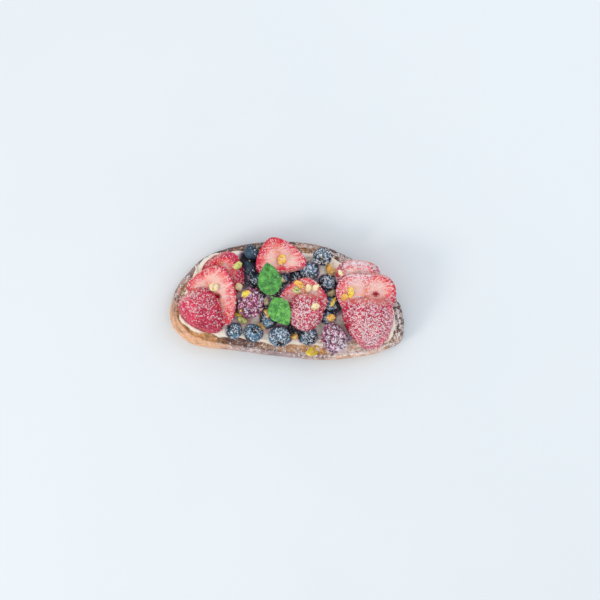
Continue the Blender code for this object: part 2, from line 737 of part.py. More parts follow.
def make_stem(height):
    """The short stem, from the cream up to the two leaves."""
    curve = bpy.data.curves.new("stem", "CURVE")
    curve.dimensions = "3D"
    curve.bevel_depth = STEM_RADIUS
    curve.bevel_resolution = 2
    curve.use_fill_caps = True
    spline = curve.splines.new("POLY")
    spline.points.add(len(STEM) - 1)
    for point, (x, y, z) in zip(spline.points, STEM):
        point.co = (x, y, z, 1.0)
    tube = bpy.data.objects.new("stem", curve)
    HELPERS.objects.link(tube)
    bpy.context.view_layer.update()
    mesh = baked(tube)
    bm = bmesh.new()
    bm.from_mesh(mesh)
    bmesh.ops.remove_doubles(bm, verts=bm.verts, dist=0.001)
    bm.to_mesh(mesh)
    bm.free()
    stem = add_object("mint_stem", mesh, "mint")
    stem.location.z = height


# ---- nuts ------------------------------------------------------------------------
def make_nut(spec, number, tree):
    """A sharp-cornered bit, pressed into the face below it."""
    draw = random.Random(SEED * 100 + number)
    bm = bmesh.new()
    for _ in range(NUT_CORNERS):
        corner = Vector([draw.gauss(0, 1) for _ in range(3)]).normalized()
        height = spec.width * NUT_HEIGHT
        bm.verts.new((corner.x * spec.length / 2, corner.y * spec.width / 2, corner.z * height / 2))
    hull = bmesh.ops.convex_hull(bm, input=bm.verts)
    unused = {v for v in hull["geom_interior"] if isinstance(v, bmesh.types.BMVert)}
    bmesh.ops.delete(bm, geom=list(unused), context="VERTS")
    bmesh.ops.recalc_face_normals(bm, faces=bm.faces)
    mesh = bpy.data.meshes.new("nut")
    bm.to_mesh(mesh)
    bm.free()
    nut = add_object(f"nut_{number:02d}", mesh, "nut", HELPERS)
    place, normal, *_ = tree.ray_cast(Vector((spec.x, spec.y, SKY)), Vector((0, 0, -1)))
    normal = Vector((0, 0, 1)) if spec.host == "cream" else normal
    lay = Vector((0, 0, 1)).rotation_difference(normal).to_matrix().to_4x4()
    lift = normal * spec.width * NUT_LIFT
    turn = Matrix.Rotation(math.radians(spec.turn), 4, "Z")
    nut.data.transform(Matrix.Translation(place + lift) @ lay @ turn)
    if spec.host == "cream":
        for v in nut.data.vertices:
            v.co.z = max(v.co.z, CREAM_FLOOR + CREAM_LEAST / 2)
    return nut


def press_nuts():
    """Joins every nut bit to the piece it lies on."""
    for host_name in sorted({nut.host for nut in NUTS}):
        host = bpy.data.objects[host_name]
        bpy.context.view_layer.update()
        host.data.transform(host.matrix_world)
        host.matrix_world = Matrix.Identity(4)
        tree, _ = world_tree([host])
        bits = [make_nut(n, i, tree) for i, n in enumerate(NUTS) if n.host == host_name]
        join(host, bits)


def to_metres():
    """Scales the finished millimetre model to metres."""
    for obj in PARTS.objects:
        bpy.context.view_layer.update()
        obj.data.transform(Matrix.Scale(MM, 4))
        obj.location *= MM


def main():
    clear_scene()
    make_bread()
    fruit = make_blueberries()
    fruit += [make_bramble(spec) for spec in BRAMBLES]
    for number, spec in enumerate(STRAWBERRIES):
        piece = make_strawberry(spec, number)
        settle(piece, REST_Z, fruit)
        fruit.append(piece)
    leaves = []
    for spec in LEAVES:
        leaf = make_leaf(spec)
        settle(leaf, REST_Z, fruit + leaves)
        leaves.append(leaf)
    make_stem(min(leaf.location.z for leaf in leaves))
    make_cream(fruit)
    press_nuts()
    to_metres()


if __name__ == "__main__":
    main()
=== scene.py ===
"""The looks of a berry toast: toasted bread, whipped cream, fruit, mint, nuts and sugar.

Every form is drawn in millimetres in the frame's own axes, +X along the slice, +Y across
it and +Z up, and becomes metres when its object is made. The heights of the pieces come
from the frame, so each lies where its solid lies.
"""

import logging
import math
import random
from dataclasses import dataclass, field
from enum import Enum
from typing import Sequence

import bmesh
import bpy
import numpy as np
from mathutils import Matrix, Vector, noise
from mathutils.bvhtree import BVHTree
from mathutils.geometry import intersect_point_line
from mathutils.kdtree import KDTree


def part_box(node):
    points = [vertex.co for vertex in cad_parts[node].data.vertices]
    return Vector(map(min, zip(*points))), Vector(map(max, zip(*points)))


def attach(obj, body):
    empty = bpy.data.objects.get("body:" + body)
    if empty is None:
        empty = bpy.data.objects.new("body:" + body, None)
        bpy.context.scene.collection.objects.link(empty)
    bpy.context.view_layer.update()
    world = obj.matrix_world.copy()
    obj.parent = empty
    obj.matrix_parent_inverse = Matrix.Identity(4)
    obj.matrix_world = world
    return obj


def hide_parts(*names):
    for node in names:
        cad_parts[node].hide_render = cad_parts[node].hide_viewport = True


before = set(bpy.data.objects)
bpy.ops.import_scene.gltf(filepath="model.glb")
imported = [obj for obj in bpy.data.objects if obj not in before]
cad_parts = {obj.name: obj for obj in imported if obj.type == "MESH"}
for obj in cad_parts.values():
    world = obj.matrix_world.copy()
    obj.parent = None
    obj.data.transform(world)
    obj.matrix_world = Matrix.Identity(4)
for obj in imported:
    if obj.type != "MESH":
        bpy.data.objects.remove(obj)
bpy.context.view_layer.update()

log = logging.getLogger("berry_toast")

MM = 0.001
SKY = 200.0  # a height above everything
DOWN = Vector((0, 0, -1))
UP = Vector((0, 0, 1))
GOLDEN_ANGLE = math.pi * (3 - math.sqrt(5))
SEED = 7
NOISE_SHIFT = (17.3, 5.1, 9.7)  # how far each seed moves the noise
# What each point of a strawberry piece knows; StrawberryFlesh says what they mean.
FLESH_MARKS = ("rim", "pith", "ring_x", "ring_y", "face", "along", "hollow")

Links = dict[str | int, object]
Socket = bpy.types.NodeSocket
Point2 = tuple[float, float]
Bump = tuple[float, float, float, float]


class Slot(Enum):
    """The record's material slots."""

    BREAD = "toasted_bread"
    CREAM = "whipped_cream"
    STRAWBERRY = "strawberry"
    BLUEBERRY = "blueberry"
    BRAMBLE = "bramble"
    MINT = "mint"


class Tone(Enum):
    """The colours that the chopped nuts come in, inside and on the skin."""

    GOLD = ("FAC55E", "B4722F")
    CREAM = ("FAE8B6", "C9A662")
    OLIVE = ("DAD87C", "557032")
    YELLOW = ("F8DC45", "CF9C2A")


# ---- colours, nodes and meshes ----
def linear_colour(code: str) -> tuple[float, float, float, float]:
    """Turns an sRGB hex value to linear RGBA.

    Args:
        code: six hex digits.

    Returns:
        The linear colour, with alpha 1.
    """
    shares = [int(code[i : i + 2], 16) / 255 for i in (0, 2, 4)]
    linear = [s / 12.92 if s <= 0.04045 else ((s + 0.055) / 1.055) ** 2.4 for s in shares]
    return (linear[0], linear[1], linear[2], 1.0)


def near(x: float, y: float, bumps: Sequence[Bump]) -> float:
    """The sum of smooth bumps (x, y, reach, amount) at a place."""
    return sum(a * math.exp(-((x - cx) ** 2 + (y - cy) ** 2) / reach**2) for cx, cy, reach, a in bumps)


def lumps(p: Vector, size: float, octaves: int = 1, seed: float = 0.0) -> float:
    """Smooth noise from about -1 to 1 whose lumps are about size millimetres across."""
    q = p / size + Vector([seed * step for step in NOISE_SHIFT])
    return sum(noise.noise(q * 2**k) / 2**k for k in range(octaves))


@dataclass
class Shape:
    """A mesh in the making, in millimetres, with named values at its points."""

    points: np.ndarray
    faces: list[tuple[int, ...]]
    marks: dict[str, np.ndarray] = field(default_factory=dict)

    def moved(self, matrix: Matrix) -> "Shape":
        """The same shape, carried by a 4 x 4 matrix."""
        m = np.array(matrix)
        return Shape(self.points @ m[:3, :3].T + m[:3, 3], self.faces, self.marks)

    def flipped(self) -> "Shape":
        """The same shape with its faces turned over."""
        return Shape(self.points, [tuple(reversed(face)) for face in self.faces], self.marks)

    def bare(self) -> "Shape":
        """The same shape without its marks."""
        return Shape(self.points, self.faces)

    def marked(self, **values: float) -> "Shape":
        """The shape itself, with those marks the same at all its points."""
        self.marks.update({name: np.full(len(self.points), value) for name, value in values.items()})
        return self

    def set_down(self, node: str, x: float = 0.0, y: float = 0.0) -> "Shape":
        """The same shape carried by x and y, its lowest point level with its solid's."""
        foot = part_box(node)[0].z / MM
        return self.moved(Matrix.Translation((x, y, foot - float(self.points[:, 2].min()))))

    def tree(self) -> BVHTree:
        """A search tree over its faces."""
        return BVHTree.FromPolygons([Vector(p) for p in self.points], self.faces)


def joined(shapes: Sequence[Shape]) -> Shape:
    """Puts several shapes in one, keeping the marks that all of them have.

    Args:
        shapes: the shapes, in order.

    Returns:
        The one shape.
    """
    faces: list[tuple[int, ...]] = []
    start = 0
    for shape in shapes:
        faces.extend(tuple(start + i for i in face) for face in shape.faces)
        start += len(shape.points)
    names = set.intersection(*(set(s.marks) for s in shapes))
    marks = {n: np.concatenate([s.marks[n] for s in shapes]) for n in sorted(names)}
    return Shape(np.concatenate([s.points for s in shapes]), faces, marks)


def grid_faces(rows: int, columns: int, closed: bool) -> list[tuple[int, ...]]:
    """The quads between rows of points, joined end to start where closed.

    Args:
        rows: how many rows there are.
        columns: how many points a row has.
        closed: whether a row runs round.

    Returns:
        The quads, row by row.
    """
    faces = []
    for start in range(0, (rows - 1) * columns, columns):
        for c in range(columns if closed else columns - 1):
            after = start + (c + 1) % columns
            faces.append((start + c, after, after + columns, start + c + columns))
    return faces


def lofted(rings: Sequence[Sequence[Sequence[float]]]) -> Shape:
    """A closed shape through rings of as many points each, capped at both ends.

    Args:
        rings: the rings' points, first to last.

    Returns:
        The closed shape.
    """
    count = len(rings[0])
    faces = grid_faces(len(rings), count, True)
    faces.append(tuple(reversed(range(count))))
    faces.append(tuple(range((len(rings) - 1) * count, len(rings) * count)))
    return Shape(np.array([p for ring in rings for p in ring], float), faces)


def from_bmesh(bm: bmesh.types.BMesh, names: Sequence[str] = ()) -> Shape:
    """Reads a bmesh and its float layers of those names, and frees it.

    Args:
        bm: the bmesh.
        names: the layers to keep as marks.

    Returns:
        Its shape.
    """
    bm.verts.index_update()
    points = np.array([v.co for v in bm.verts], float)
    marks = {}
    for name in names:
        layer = bm.verts.layers.float[name]
        marks[name] = np.array([v[layer] for v in bm.verts])
    faces = [tuple(v.index for v in face.verts) for face in bm.faces]
    bm.free()
    return Shape(points, faces, marks)


def plain_mesh(shape: Shape, name: str) -> bpy.types.Mesh:
    """A mesh of the shape in millimetres, without its marks."""
    mesh = bpy.data.meshes.new(name)
    mesh.from_pydata(shape.points.tolist(), [], shape.faces)
    return mesh


def to_bmesh(shape: Shape) -> bmesh.types.BMesh:
    """A bmesh of the shape, without its marks.

    Args:
        shape: the shape.

    Returns:
        The bmesh.
    """
    mesh = plain_mesh(shape, "draft")
    bm = bmesh.new()
    bm.from_mesh(mesh)
    bpy.data.meshes.remove(mesh)
    return bm


def welded(shape: Shape, reach: float = 0.01) -> Shape:
    """The shape, without marks, with the points that coincide joined.

    Args:
        shape: the shape.
        reach: how far apart such points may lie.

    Returns:
        The joined shape.
    """
    bm = to_bmesh(shape)
    bmesh.ops.remove_doubles(bm, verts=bm.verts, dist=reach)
    return from_bmesh(bm)


def turned(profile: Sequence[Point2], sides: int) -> Shape:
    """A closed shape turned about Z from (radius, height) points, top to bottom.

    Args:
        profile: the points.
        sides: how many points a ring has.

    Returns:
        The closed shape.
    """
    rings = [
        [(r * math.cos(math.tau * k / sides), r * math.sin(math.tau * k / sides), h) for k in range(sides)]
        for r, h in profile[1:-1]
    ]
    count = sides * len(rings)
    faces = [tuple(reversed(face)) for face in grid_faces(len(rings), sides, True)]
    faces += [(count, k, (k + 1) % sides) for k in range(sides)]
    last = count - sides
    faces += [(count + 1, last + (k + 1) % sides, last + k) for k in range(sides)]
    points = [p for ring in rings for p in ring]
    points += [(0.0, 0.0, profile[0][1]), (0.0, 0.0, profile[-1][1])]
    return Shape(np.array(points, float), faces)


def turn_by(degrees: float, axis: str | Vector) -> Matrix:
    """A turn about an axis through the origin, as a 4 x 4 matrix."""
    return Matrix.Rotation(math.radians(degrees), 4, axis)


def in_scene(name: str, data: bpy.types.ID) -> bpy.types.Object:
    """A new object with that data, linked to the scene."""
    made = bpy.data.objects.new(name, data)
    bpy.context.scene.collection.objects.link(made)
    return made


@dataclass
class Served:
    """A finished piece: its object, its shape, its slot and how much sugar stays on it."""

    piece: bpy.types.Object
    shape: Shape
    slot: Slot | None
    clings: np.ndarray


class Ground:
    """What is served so far, seen from above."""

    def __init__(self, served: Sequence[Served]) -> None:
        """Takes in the pieces as they are now.

        Args:
            served: the pieces.
        """
        self.served = list(served)
        self.whole = joined([s.shape.bare() for s in self.served])
        self.tree = self.whole.tree()
        self.owners = np.concatenate([np.full(len(s.shape.faces), k) for k, s in enumerate(self.served)])
        self.starts = np.cumsum([0] + [len(s.shape.points) for s in self.served])

    def below(self, x: float, y: float) -> tuple[Served, int, Vector, Vector] | None:
        """What lies uppermost at a place.

        Args:
            x: the place along the slice.
            y: the place across it.

        Returns:
            The piece, one of its points near the place, the place and the way out of it
            there, or None where nothing lies.
        """
        place, normal, index, _ = self.tree.ray_cast(Vector((x, y, SKY)), DOWN)
        if place is None:
            return None
        owner = int(self.owners[index])
        return self.served[owner], self.whole.faces[index][0] - int(self.starts[owner]), place, normal


@dataclass
class Table:
    """Collects the pieces as they are served."""

    served: list[Served] = field(default_factory=list)

    def serve(
        self,
        name: str,
        shape: Shape,
        material: bpy.types.Material,
        slot: Slot | None = None,
        nodes: Sequence[str] = (),
        clings: np.ndarray | float = 1.0,
        sharp: float = 180.0,
    ) -> None:
        """Makes the piece's object in metres and sets it on the frame.

        Args:
            name: the piece's name.
            shape: its mesh in millimetres.
            material: its finish.
            slot: the kind of finish it has; the nuts, crumbs and sugar read it to tell what they lie on.
            nodes: the solids that it stands for.
            clings: the share of the sugar that stays on it, for all or for each point.
            sharp: the angle in degrees past which an edge isn't smoothed.
        """
        mesh = bpy.data.meshes.new(name)
        mesh.from_pydata((shape.points * MM).tolist(), [], shape.faces)
        mesh.materials.append(material)
        for mark, values in shape.marks.items():
            kind, part = ("FLOAT_COLOR", "color") if values.ndim == 2 else ("FLOAT", "value")
            layer = mesh.attributes.new(mark, kind, "POINT")
            layer.data.foreach_set(part, values.astype(np.float32).ravel())
        mesh.shade_smooth()
        if sharp < 180.0:
            mesh.set_sharp_from_angle(angle=math.radians(sharp))
        piece = in_scene(name, mesh)
        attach(piece, "root")
        if nodes:
            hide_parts(*nodes)
        held = np.broadcast_to(np.asarray(clings, float), (len(shape.points),)).copy()
        self.served.append(Served(piece, shape, slot, held))
        log.info("%s: %d points, %d faces", name, len(shape.points), len(shape.faces))


# ---- finishes ----
class Mixture:
    """A material in the making: its nodes, its shader, and places on it in millimetres."""

    def __init__(self, name: str) -> None:
        """Starts a material.

        Args:
            name: the finish's name.
        """
        self.material = bpy.data.materials.new(name)
        self.material.use_nodes = True
        self.nodes = self.material.node_tree.nodes
        self.shader = self.nodes["Principled BSDF"]
        coords = self.add("TexCoord", out="Object")
        self.place = self.add("VectorMath", {0: coords, 1: (1 / MM,) * 3}, operation="MULTIPLY")

    def add(self, kind: str, inputs: Links | None = None, out: str | int = 0, **settings: object) -> Socket:
        """Adds a shader node with its settings and links.

        Args:
            kind: the node's type.
            inputs: what each of its sockets gets. A noise lies in the piece's own
                millimetres, and its `mm` is the size of its blotches.
            out: the wanted output.
            **settings: the node's own properties.

        Returns:
            The wanted output.
        """
        node = self.nodes.new("ShaderNode" + kind)
        for name, value in settings.items():
            setattr(node, name, value)
        given = dict(inputs or {})
        if "mm" in given:
            given = {"Vector": self.place, "Scale": 0.5 / given.pop("mm"), **given}
        self.fill(node, given)
        return node.outputs[out]

    def fill(self, node: bpy.types.Node, inputs: Links) -> None:
        """Sets or links a node's sockets.

        Args:
            node: the node.
            inputs: for each socket name or number a value, a hex colour or a socket.
        """
        for name, value in inputs.items():
            if isinstance(value, bpy.types.NodeSocket):
                node.id_data.links.new(value, node.inputs[name])
            else:
                node.inputs[name].default_value = linear_colour(value) if isinstance(value, str) else value

    def layered(self, base: str | Socket, layers: Sequence[tuple[Socket, str | Socket]]) -> Socket:
        """Lays colours over each other.

        Args:
            base: the lowest colour.
            layers: the share and the colour of each layer over it.

        Returns:
            The mixed colour.
        """
        for share, colour in layers:
            base = self.add("Mix", {0: share, 6: base, 7: colour}, 2, data_type="RGBA")
        return base

    def settled(self, values: Links) -> bpy.types.Material:
        """Gives the shader its values, and returns the material."""
        self.fill(self.shader, values)
        return self.material


@dataclass(frozen=True)
class SugarDust:
    """Sieved powdered sugar, too fine to see grain by grain: it whitens what it lies on.

    It shows as a soft white bloom broken into specks, thick where the mark `sugar` is high.
    """

    colour: str = "F7F0F2"
    speck_mm: float = 0.5  # powder is under 0.1 mm: its clumps are drawn as coarse as shows
    thick: float = 0.92
    onset: float = 0.745  # how high the noise is where sugar shows on barely dusted places
    gain: float = 0.27  # how much lower it may be where all the sugar fell
    edge: float = 0.07  # over how much of the noise a speck fades out
    roughness: float = 0.9

    def over(self, mix: Mixture, colour: Socket, rough: Socket | float) -> tuple[Socket, Socket]:
        """Lays the dust over a colour and a roughness.

        Args:
            mix: the material.
            colour: the clean colour.
            rough: the clean roughness.

        Returns:
            The dusted colour and roughness.
        """
        fall = mix.add("Attribute", out="Fac", attribute_name="sugar")
        speck = mix.add("TexNoise", {"mm": self.speck_mm, "Detail": 3.0, "Roughness": 0.6})
        least = mix.add("Math", {0: fall, 1: -self.gain, 2: self.onset}, operation="MULTIPLY_ADD")
        above = mix.add("Math", {0: speck, 1: least}, operation="SUBTRACT")
        cover = mix.add("MapRange", {"Value": above, "From Max": self.edge, "To Max": self.thick})
        dull = mix.add("Mix", {0: cover, 2: rough, 3: self.roughness}, data_type="FLOAT")
        return mix.layered(colour, [(cover, self.colour)]), dull


@dataclass(frozen=True)
class ToastedBread:
    """Wheat bread, baked and then toasted: a dry, matt, blistered crust round a browned crumb.

    The mark `crust` is 1 on the crust and 0 on the crumb, `toast` says how dark it went, partly
    painted light and shade, and the greyish mark lays a pale mauve over it, partly floury dust
    left on it and partly painted shade on the crust's sides.
    """

    crust_pale: str = "EFBA94"
    crust_dark: str = "4E3029"
    crumb_pale: str = "EDB77E"
    crumb_dark: str = "6B453B"
    # pale greyish mauve: partly floury dust, partly painted shade on the crust's sides
    flour: str = "C3AEB3"
    blister_mm: float = 4.2  # blisters and scorched patches
    grain_mm: float = 0.7  # the crumb's cell walls are finer: this is as fine as shows
    flour_and_shade_mm: float = 5.0
    dust: SugarDust = SugarDust(speck_mm=1.3, thick=0.9)

    def material(self) -> bpy.types.Material:
        """Builds the finish.

        Returns:
            The material.
        """
        mix = Mixture("toasted_bread")
        crust, toast, flour = (
            mix.add("Attribute", out="Fac", attribute_name=mark) for mark in ("crust", "toast", "flour")
        )
        blotch = mix.add("TexNoise", {"mm": self.blister_mm, "Detail": 6.0, "Roughness": 0.6})
        grain = mix.add("TexNoise", {"mm": self.grain_mm, "Detail": 3.0})
        drift = mix.add("TexNoise", {"mm": self.flour_and_shade_mm, "Detail": 5.0, "Roughness": 0.7})
        spread = mix.add("Math", {0: blotch, 1: 2.1, 2: -1.05}, operation="MULTIPLY_ADD")
        browned = mix.add("Math", {0: toast, 1: spread}, operation="ADD", use_clamp=True)
        crumb = mix.layered(self.crumb_pale, [(browned, self.crumb_dark)])
        rind = mix.layered(self.crust_pale, [(browned, self.crust_dark)])
        patches = {"Value": drift, "From Min": 0.36, "From Max": 0.62, "To Min": 0.5, "To Max": 1.1}
        patchy = mix.add("MapRange", patches)
        # the greyish mauve share: partly floury dust, partly painted shade
        powdered = mix.add("Math", {0: flour, 1: patchy}, operation="MULTIPLY", use_clamp=True)
        floured_and_shaded = mix.layered(crumb, [(crust, rind), (powdered, self.flour)])
        shades = {"Value": grain, "From Min": 0.3, "From Max": 0.7, "To Min": 0.80, "To Max": 1.10}
        shade = mix.add("MapRange", shades)
        toned = mix.add("VectorMath", {0: floured_and_shaded, "Scale": shade}, operation="SCALE")
        colour, rough = self.dust.over(mix, toned, 0.78)
        relief = mix.add("Math", {0: blotch, 1: 3.0, 2: grain}, operation="MULTIPLY_ADD")
        bump = mix.add("Bump", {"Strength": 0.7, "Distance": 0.5 * MM, "Height": relief})
        return mix.settled(
            {"Base Color": colour, "Roughness": rough, "Normal": bump, "Specular IOR Level": 0.3}
        )


@dataclass(frozen=True)
class WhippedCream:
    """Whipped dairy cream, spread with a knife: off-white, softly translucent, faint sheen.

    The pink mark says how far the strawberries' juice has run into it, and the dark mark how far the
    berries' juice has; the dark mark also paints shade round the berries and in the gaps between the fruit.
    """

    colour: str = "F3E8D8"
    hollow: str = "DCC9B2"
    pink: str = "E0A5A0"
    # lilac and the near-black below it are the berries' juice and also painted shade round the berries and
    # in the gaps between the fruit
    lilac: str = "B68FA6"
    plum: str = "352C40"
    ripple_mm: float = 3.0
    fat_mm: float = 0.3125  # beads of fat are finer: this is as fine as breaks up the sheen

    def material(self) -> bpy.types.Material:
        """Builds the finish.

        Returns:
            The material.
        """
        mix = Mixture("whipped_cream")
        wash = mix.add("TexNoise", {"mm": self.ripple_mm, "Detail": 4.0})
        fat = mix.add("TexNoise", {"mm": self.fat_mm, "Detail": 2.0})
        deep = mix.add("MapRange", {"Value": wash, "From Min": 0.5, "From Max": 0.75})
        runs = {"Value": wash, "From Min": 0.34, "From Max": 0.58, "To Min": 0.5, "To Max": 1.1}
        uneven = mix.add("MapRange", runs)
        layers = [(deep, self.hollow)]
        # the two dark steps paint the berries' juice and the shade round the berries and in the gaps
        # between them
        juices_and_shade = (
            ("pink", 0.0, 1.0, self.pink),
            ("plum", 0.12, 0.50, self.lilac),
            ("plum", 0.34, 0.80, self.plum),
        )
        for mark, least, most, juice in juices_and_shade:
            run = mix.add("Attribute", out="Fac", attribute_name=mark)
            soak_and_shade = mix.add("Math", {0: run, 1: uneven}, operation="MULTIPLY")
            reach = {"Value": soak_and_shade, "From Min": least, "From Max": most}
            layers.append((mix.add("MapRange", reach, interpolation_type="SMOOTHSTEP"), juice))
        return mix.settled({
            "Base Color": mix.layered(self.colour, layers),
            "Roughness": mix.add("MapRange", {"Value": fat, "To Min": 0.38, "To Max": 0.56}),
            "Normal": mix.add("Bump", {"Strength": 0.35, "Distance": 0.2 * MM, "Height": fat}),
            "Subsurface Weight": 0.25,
            "Subsurface Radius": (1.0, 0.75, 0.5),
            "Subsurface Scale": 1.0 * MM,
        })


@dataclass(frozen=True)
class StrawberryFlesh:
    """Ripe strawberry, hulled and sliced: a wet red skin round paler, fibrous flesh.

    On a cut, the marks say where the eye is: `rim` is the distance from the skin and
    `pith` the distance from the core in millimetres, `ring_x` and `ring_y` go round the
    rim, `face` is 1 and `hollow` is 1 in an open core. On the skin `face` is 0 and `along`
    runs from the stem end to the tip.
    """

    skin: str = "A00A3B"
    skin_light: str = "DC2A57"
    shoulder: str = "DC7F74"
    red: str = "D42039"
    pink: str = "EE6D6E"
    pale: str = "F8BEAF"
    strand: str = "FAD6CB"
    heart: str = "EC6F48"
    # dark crimson painted shade down in the open core
    core_shade: str = "B00A2C"
    fibre_mm: float = 0.9  # how thick the strands from the core to the skin are
    strand_mm: float = 6.25  # and how long
    cloud_mm: float = 3.57  # riper and paler parts
    cell_mm: float = 0.5556  # juice cells, drawn a little coarser than real to show
    blotch_mm: float = 4.17

    def skin_colour(self, mix: Mixture, along: Socket) -> Socket:
        """The skin: blotched red, paler at the shoulder.

        Args:
            mix: the material.
            along: the share of the way from the stem end.

        Returns:
            The colour.
        """
        blotch = mix.add("TexNoise", {"mm": self.blotch_mm, "Detail": 5.0})
        patch = mix.add("MapRange", {"Value": blotch, "From Min": 0.35, "From Max": 0.65})
        top = mix.add("MapRange", {"Value": along, "From Min": 0.10, "From Max": 0.0})
        return mix.layered(self.skin, [(patch, self.skin_light), (top, self.shoulder)])

    def flesh_colour(self, mix: Mixture, marks: dict[str, Socket], fibre: Socket) -> Socket:
        """The cut face: red at the rim, then pink and pale with strands, orange at the core.

        Args:
            mix: the material.
            marks: the piece's marks.
            fibre: the noise along the fibres.

        Returns:
            The colour.
        """
        cloud = mix.add("TexNoise", {"mm": self.cloud_mm, "Detail": 3.0})
        cells = mix.add("TexNoise", {"mm": self.cell_mm, "Detail": 2.0})
        # each pattern moves the line between red and pale in or out by some millimetres
        depth = marks["rim"]
        for pattern, more, less in ((fibre, 9.0, -4.6), (cloud, 7.0, -8.2), (cells, 9.0, 0.0)):
            wave = mix.add("Math", {0: pattern, 1: more, 2: less}, operation="MULTIPLY_ADD")
            depth = mix.add("Math", {0: depth, 1: wave}, operation="ADD")
        layers = []
        for least, most, shade in ((0.5, 4.0, self.pink), (3.4, 9.5, self.pale)):
            reach = {"Value": depth, "From Min": least, "From Max": most}
            layers.append((mix.add("MapRange", reach, interpolation_type="SMOOTHSTEP"), shade))
        bright = mix.add("MapRange", {"Value": fibre, "From Min": 0.54, "From Max": 0.66, "To Max": 0.7})
        inside = mix.add("MapRange", {"Value": marks["rim"], "From Min": 0.6, "From Max": 2.2})
        lit = mix.add("Math", {0: bright, 1: inside}, operation="MULTIPLY")
        warmth = {"Value": marks["pith"], "From Min": 4.2, "From Max": 0.2, "To Max": 0.7}
        core = mix.add("MapRange", warmth)
        # the open core is painted dark crimson: painted shade in the hollow
        layers += [(lit, self.strand), (core, self.heart), (marks["hollow"], self.core_shade)]
        return mix.layered(self.red, layers)

    def material(self) -> bpy.types.Material:
        """Builds the finish.

        Returns:
            The material.
        """
        mix = Mixture("strawberry_flesh")
        marks = {mark: mix.add("Attribute", out="Fac", attribute_name=mark) for mark in FLESH_MARKS}
        around = mix.add("CombineXYZ", {"X": marks["ring_x"], "Y": marks["ring_y"], "Z": marks["rim"]})
        fine, long = 0.5 / self.fibre_mm, 0.5 / self.strand_mm
        stretched = mix.add("VectorMath", {0: around, 1: (fine, fine, long)}, operation="MULTIPLY")
        threads = {"Vector": stretched, "Scale": 1.0, "Detail": 3.0, "Distortion": 0.3}
        fibre = mix.add("TexNoise", threads)
        flesh = self.flesh_colour(mix, marks, fibre)
        whole = mix.layered(self.skin_colour(mix, marks["along"]), [(marks["face"], flesh)])
        colour, rough = SugarDust().over(mix, whole, 0.32)
        height = mix.add("Math", {0: fibre, 1: marks["face"]}, operation="MULTIPLY")
        return mix.settled({
            "Base Color": colour,
            "Roughness": rough,
            "Normal": mix.add("Bump", {"Strength": 0.5, "Distance": 0.4 * MM, "Height": height}),
            "IOR": 1.36,
            "Subsurface Weight": 0.15,
            "Subsurface Radius": (1.0, 0.25, 0.18),
            "Subsurface Scale": 1.2 * MM,
            "Coat Weight": 0.25,
            "Coat Roughness": 0.18,
        })


@dataclass(frozen=True)
class Achene:
    """The dry seeds in a strawberry's skin: small, hard, straw-yellow to brown."""

    pale: str = "D9A851"
    brown: str = "96481F"
    tone_mm: float = 1.43  # about the size of a seed, so each has a tone of its own
    grain_mm: float = 0.167

    def material(self) -> bpy.types.Material:
        """Builds the finish.

        Returns:
            The material.
        """
        mix = Mixture("achene")
        pick = mix.add("TexNoise", {"mm": self.tone_mm, "Detail": 1.0})
        grain = mix.add("TexNoise", {"mm": self.grain_mm, "Detail": 1.0})
        share = mix.add("MapRange", {"Value": pick, "From Min": 0.38, "From Max": 0.62})
        return mix.settled({
            "Base Color": mix.layered(self.pale, [(share, self.brown)]),
            "Roughness": mix.add("MapRange", {"Value": grain, "To Min": 0.35, "To Max": 0.55}),
            "Normal": mix.add("Bump", {"Strength": 0.3, "Distance": 0.1 * MM, "Height": grain}),
        })


@dataclass(frozen=True)
class BloomedBlueberry:
    """Blueberry skin: blue-black under a powdery wax bloom that is rubbed off in patches.

    The mark `crown` is 1 in the dry brown crown and 0 on the skin, and the bloom mark says how much
    of the bloom is left; it is kept low on the berries that sit deepest in shade, as painted shade.
    """

    skin: str = "0B1A2C"
    bloom: str = "547B94"
    crown: str = "231F29"
    rub_mm: float = 4.0
    pit_mm: float = 0.2273  # the wax's grain is finer: this is as fine as dulls the shine
    dust: SugarDust = SugarDust(thick=0.85)

    def material(self) -> bpy.types.Material:
        """Builds the finish.

        Returns:
            The material.
        """
        mix = Mixture("bloomed_blueberry")
        crown, left = (mix.add("Attribute", out="Fac", attribute_name=mark) for mark in ("crown", "waxed"))
        rub = mix.add("TexNoise", {"mm": self.rub_mm, "Detail": 4.0, "Roughness": 0.6})
        pits = mix.add("TexNoise", {"mm": self.pit_mm, "Detail": 2.0})
        patch = mix.add("MapRange", {"Value": rub, "From Min": 0.38, "From Max": 0.62})
        # less bloom where the bloom mark is low: on berries 01, 02 and 15 that darkening is painted shade
        waxed = mix.add("Math", {0: patch, 1: left}, operation="MULTIPLY")
        skin = mix.layered(self.skin, [(waxed, self.bloom), (crown, self.crown)])
        dry = mix.add("MapRange", {"Value": waxed, "To Min": 0.36, "To Max": 0.68})
        colour, rough = self.dust.over(mix, skin, dry)
        bump = mix.add("Bump", {"Strength": 0.25, "Distance": 0.1 * MM, "Height": pits})
        return mix.settled({"Base Color": colour, "Roughness": rough, "Normal": bump, "IOR": 1.4})


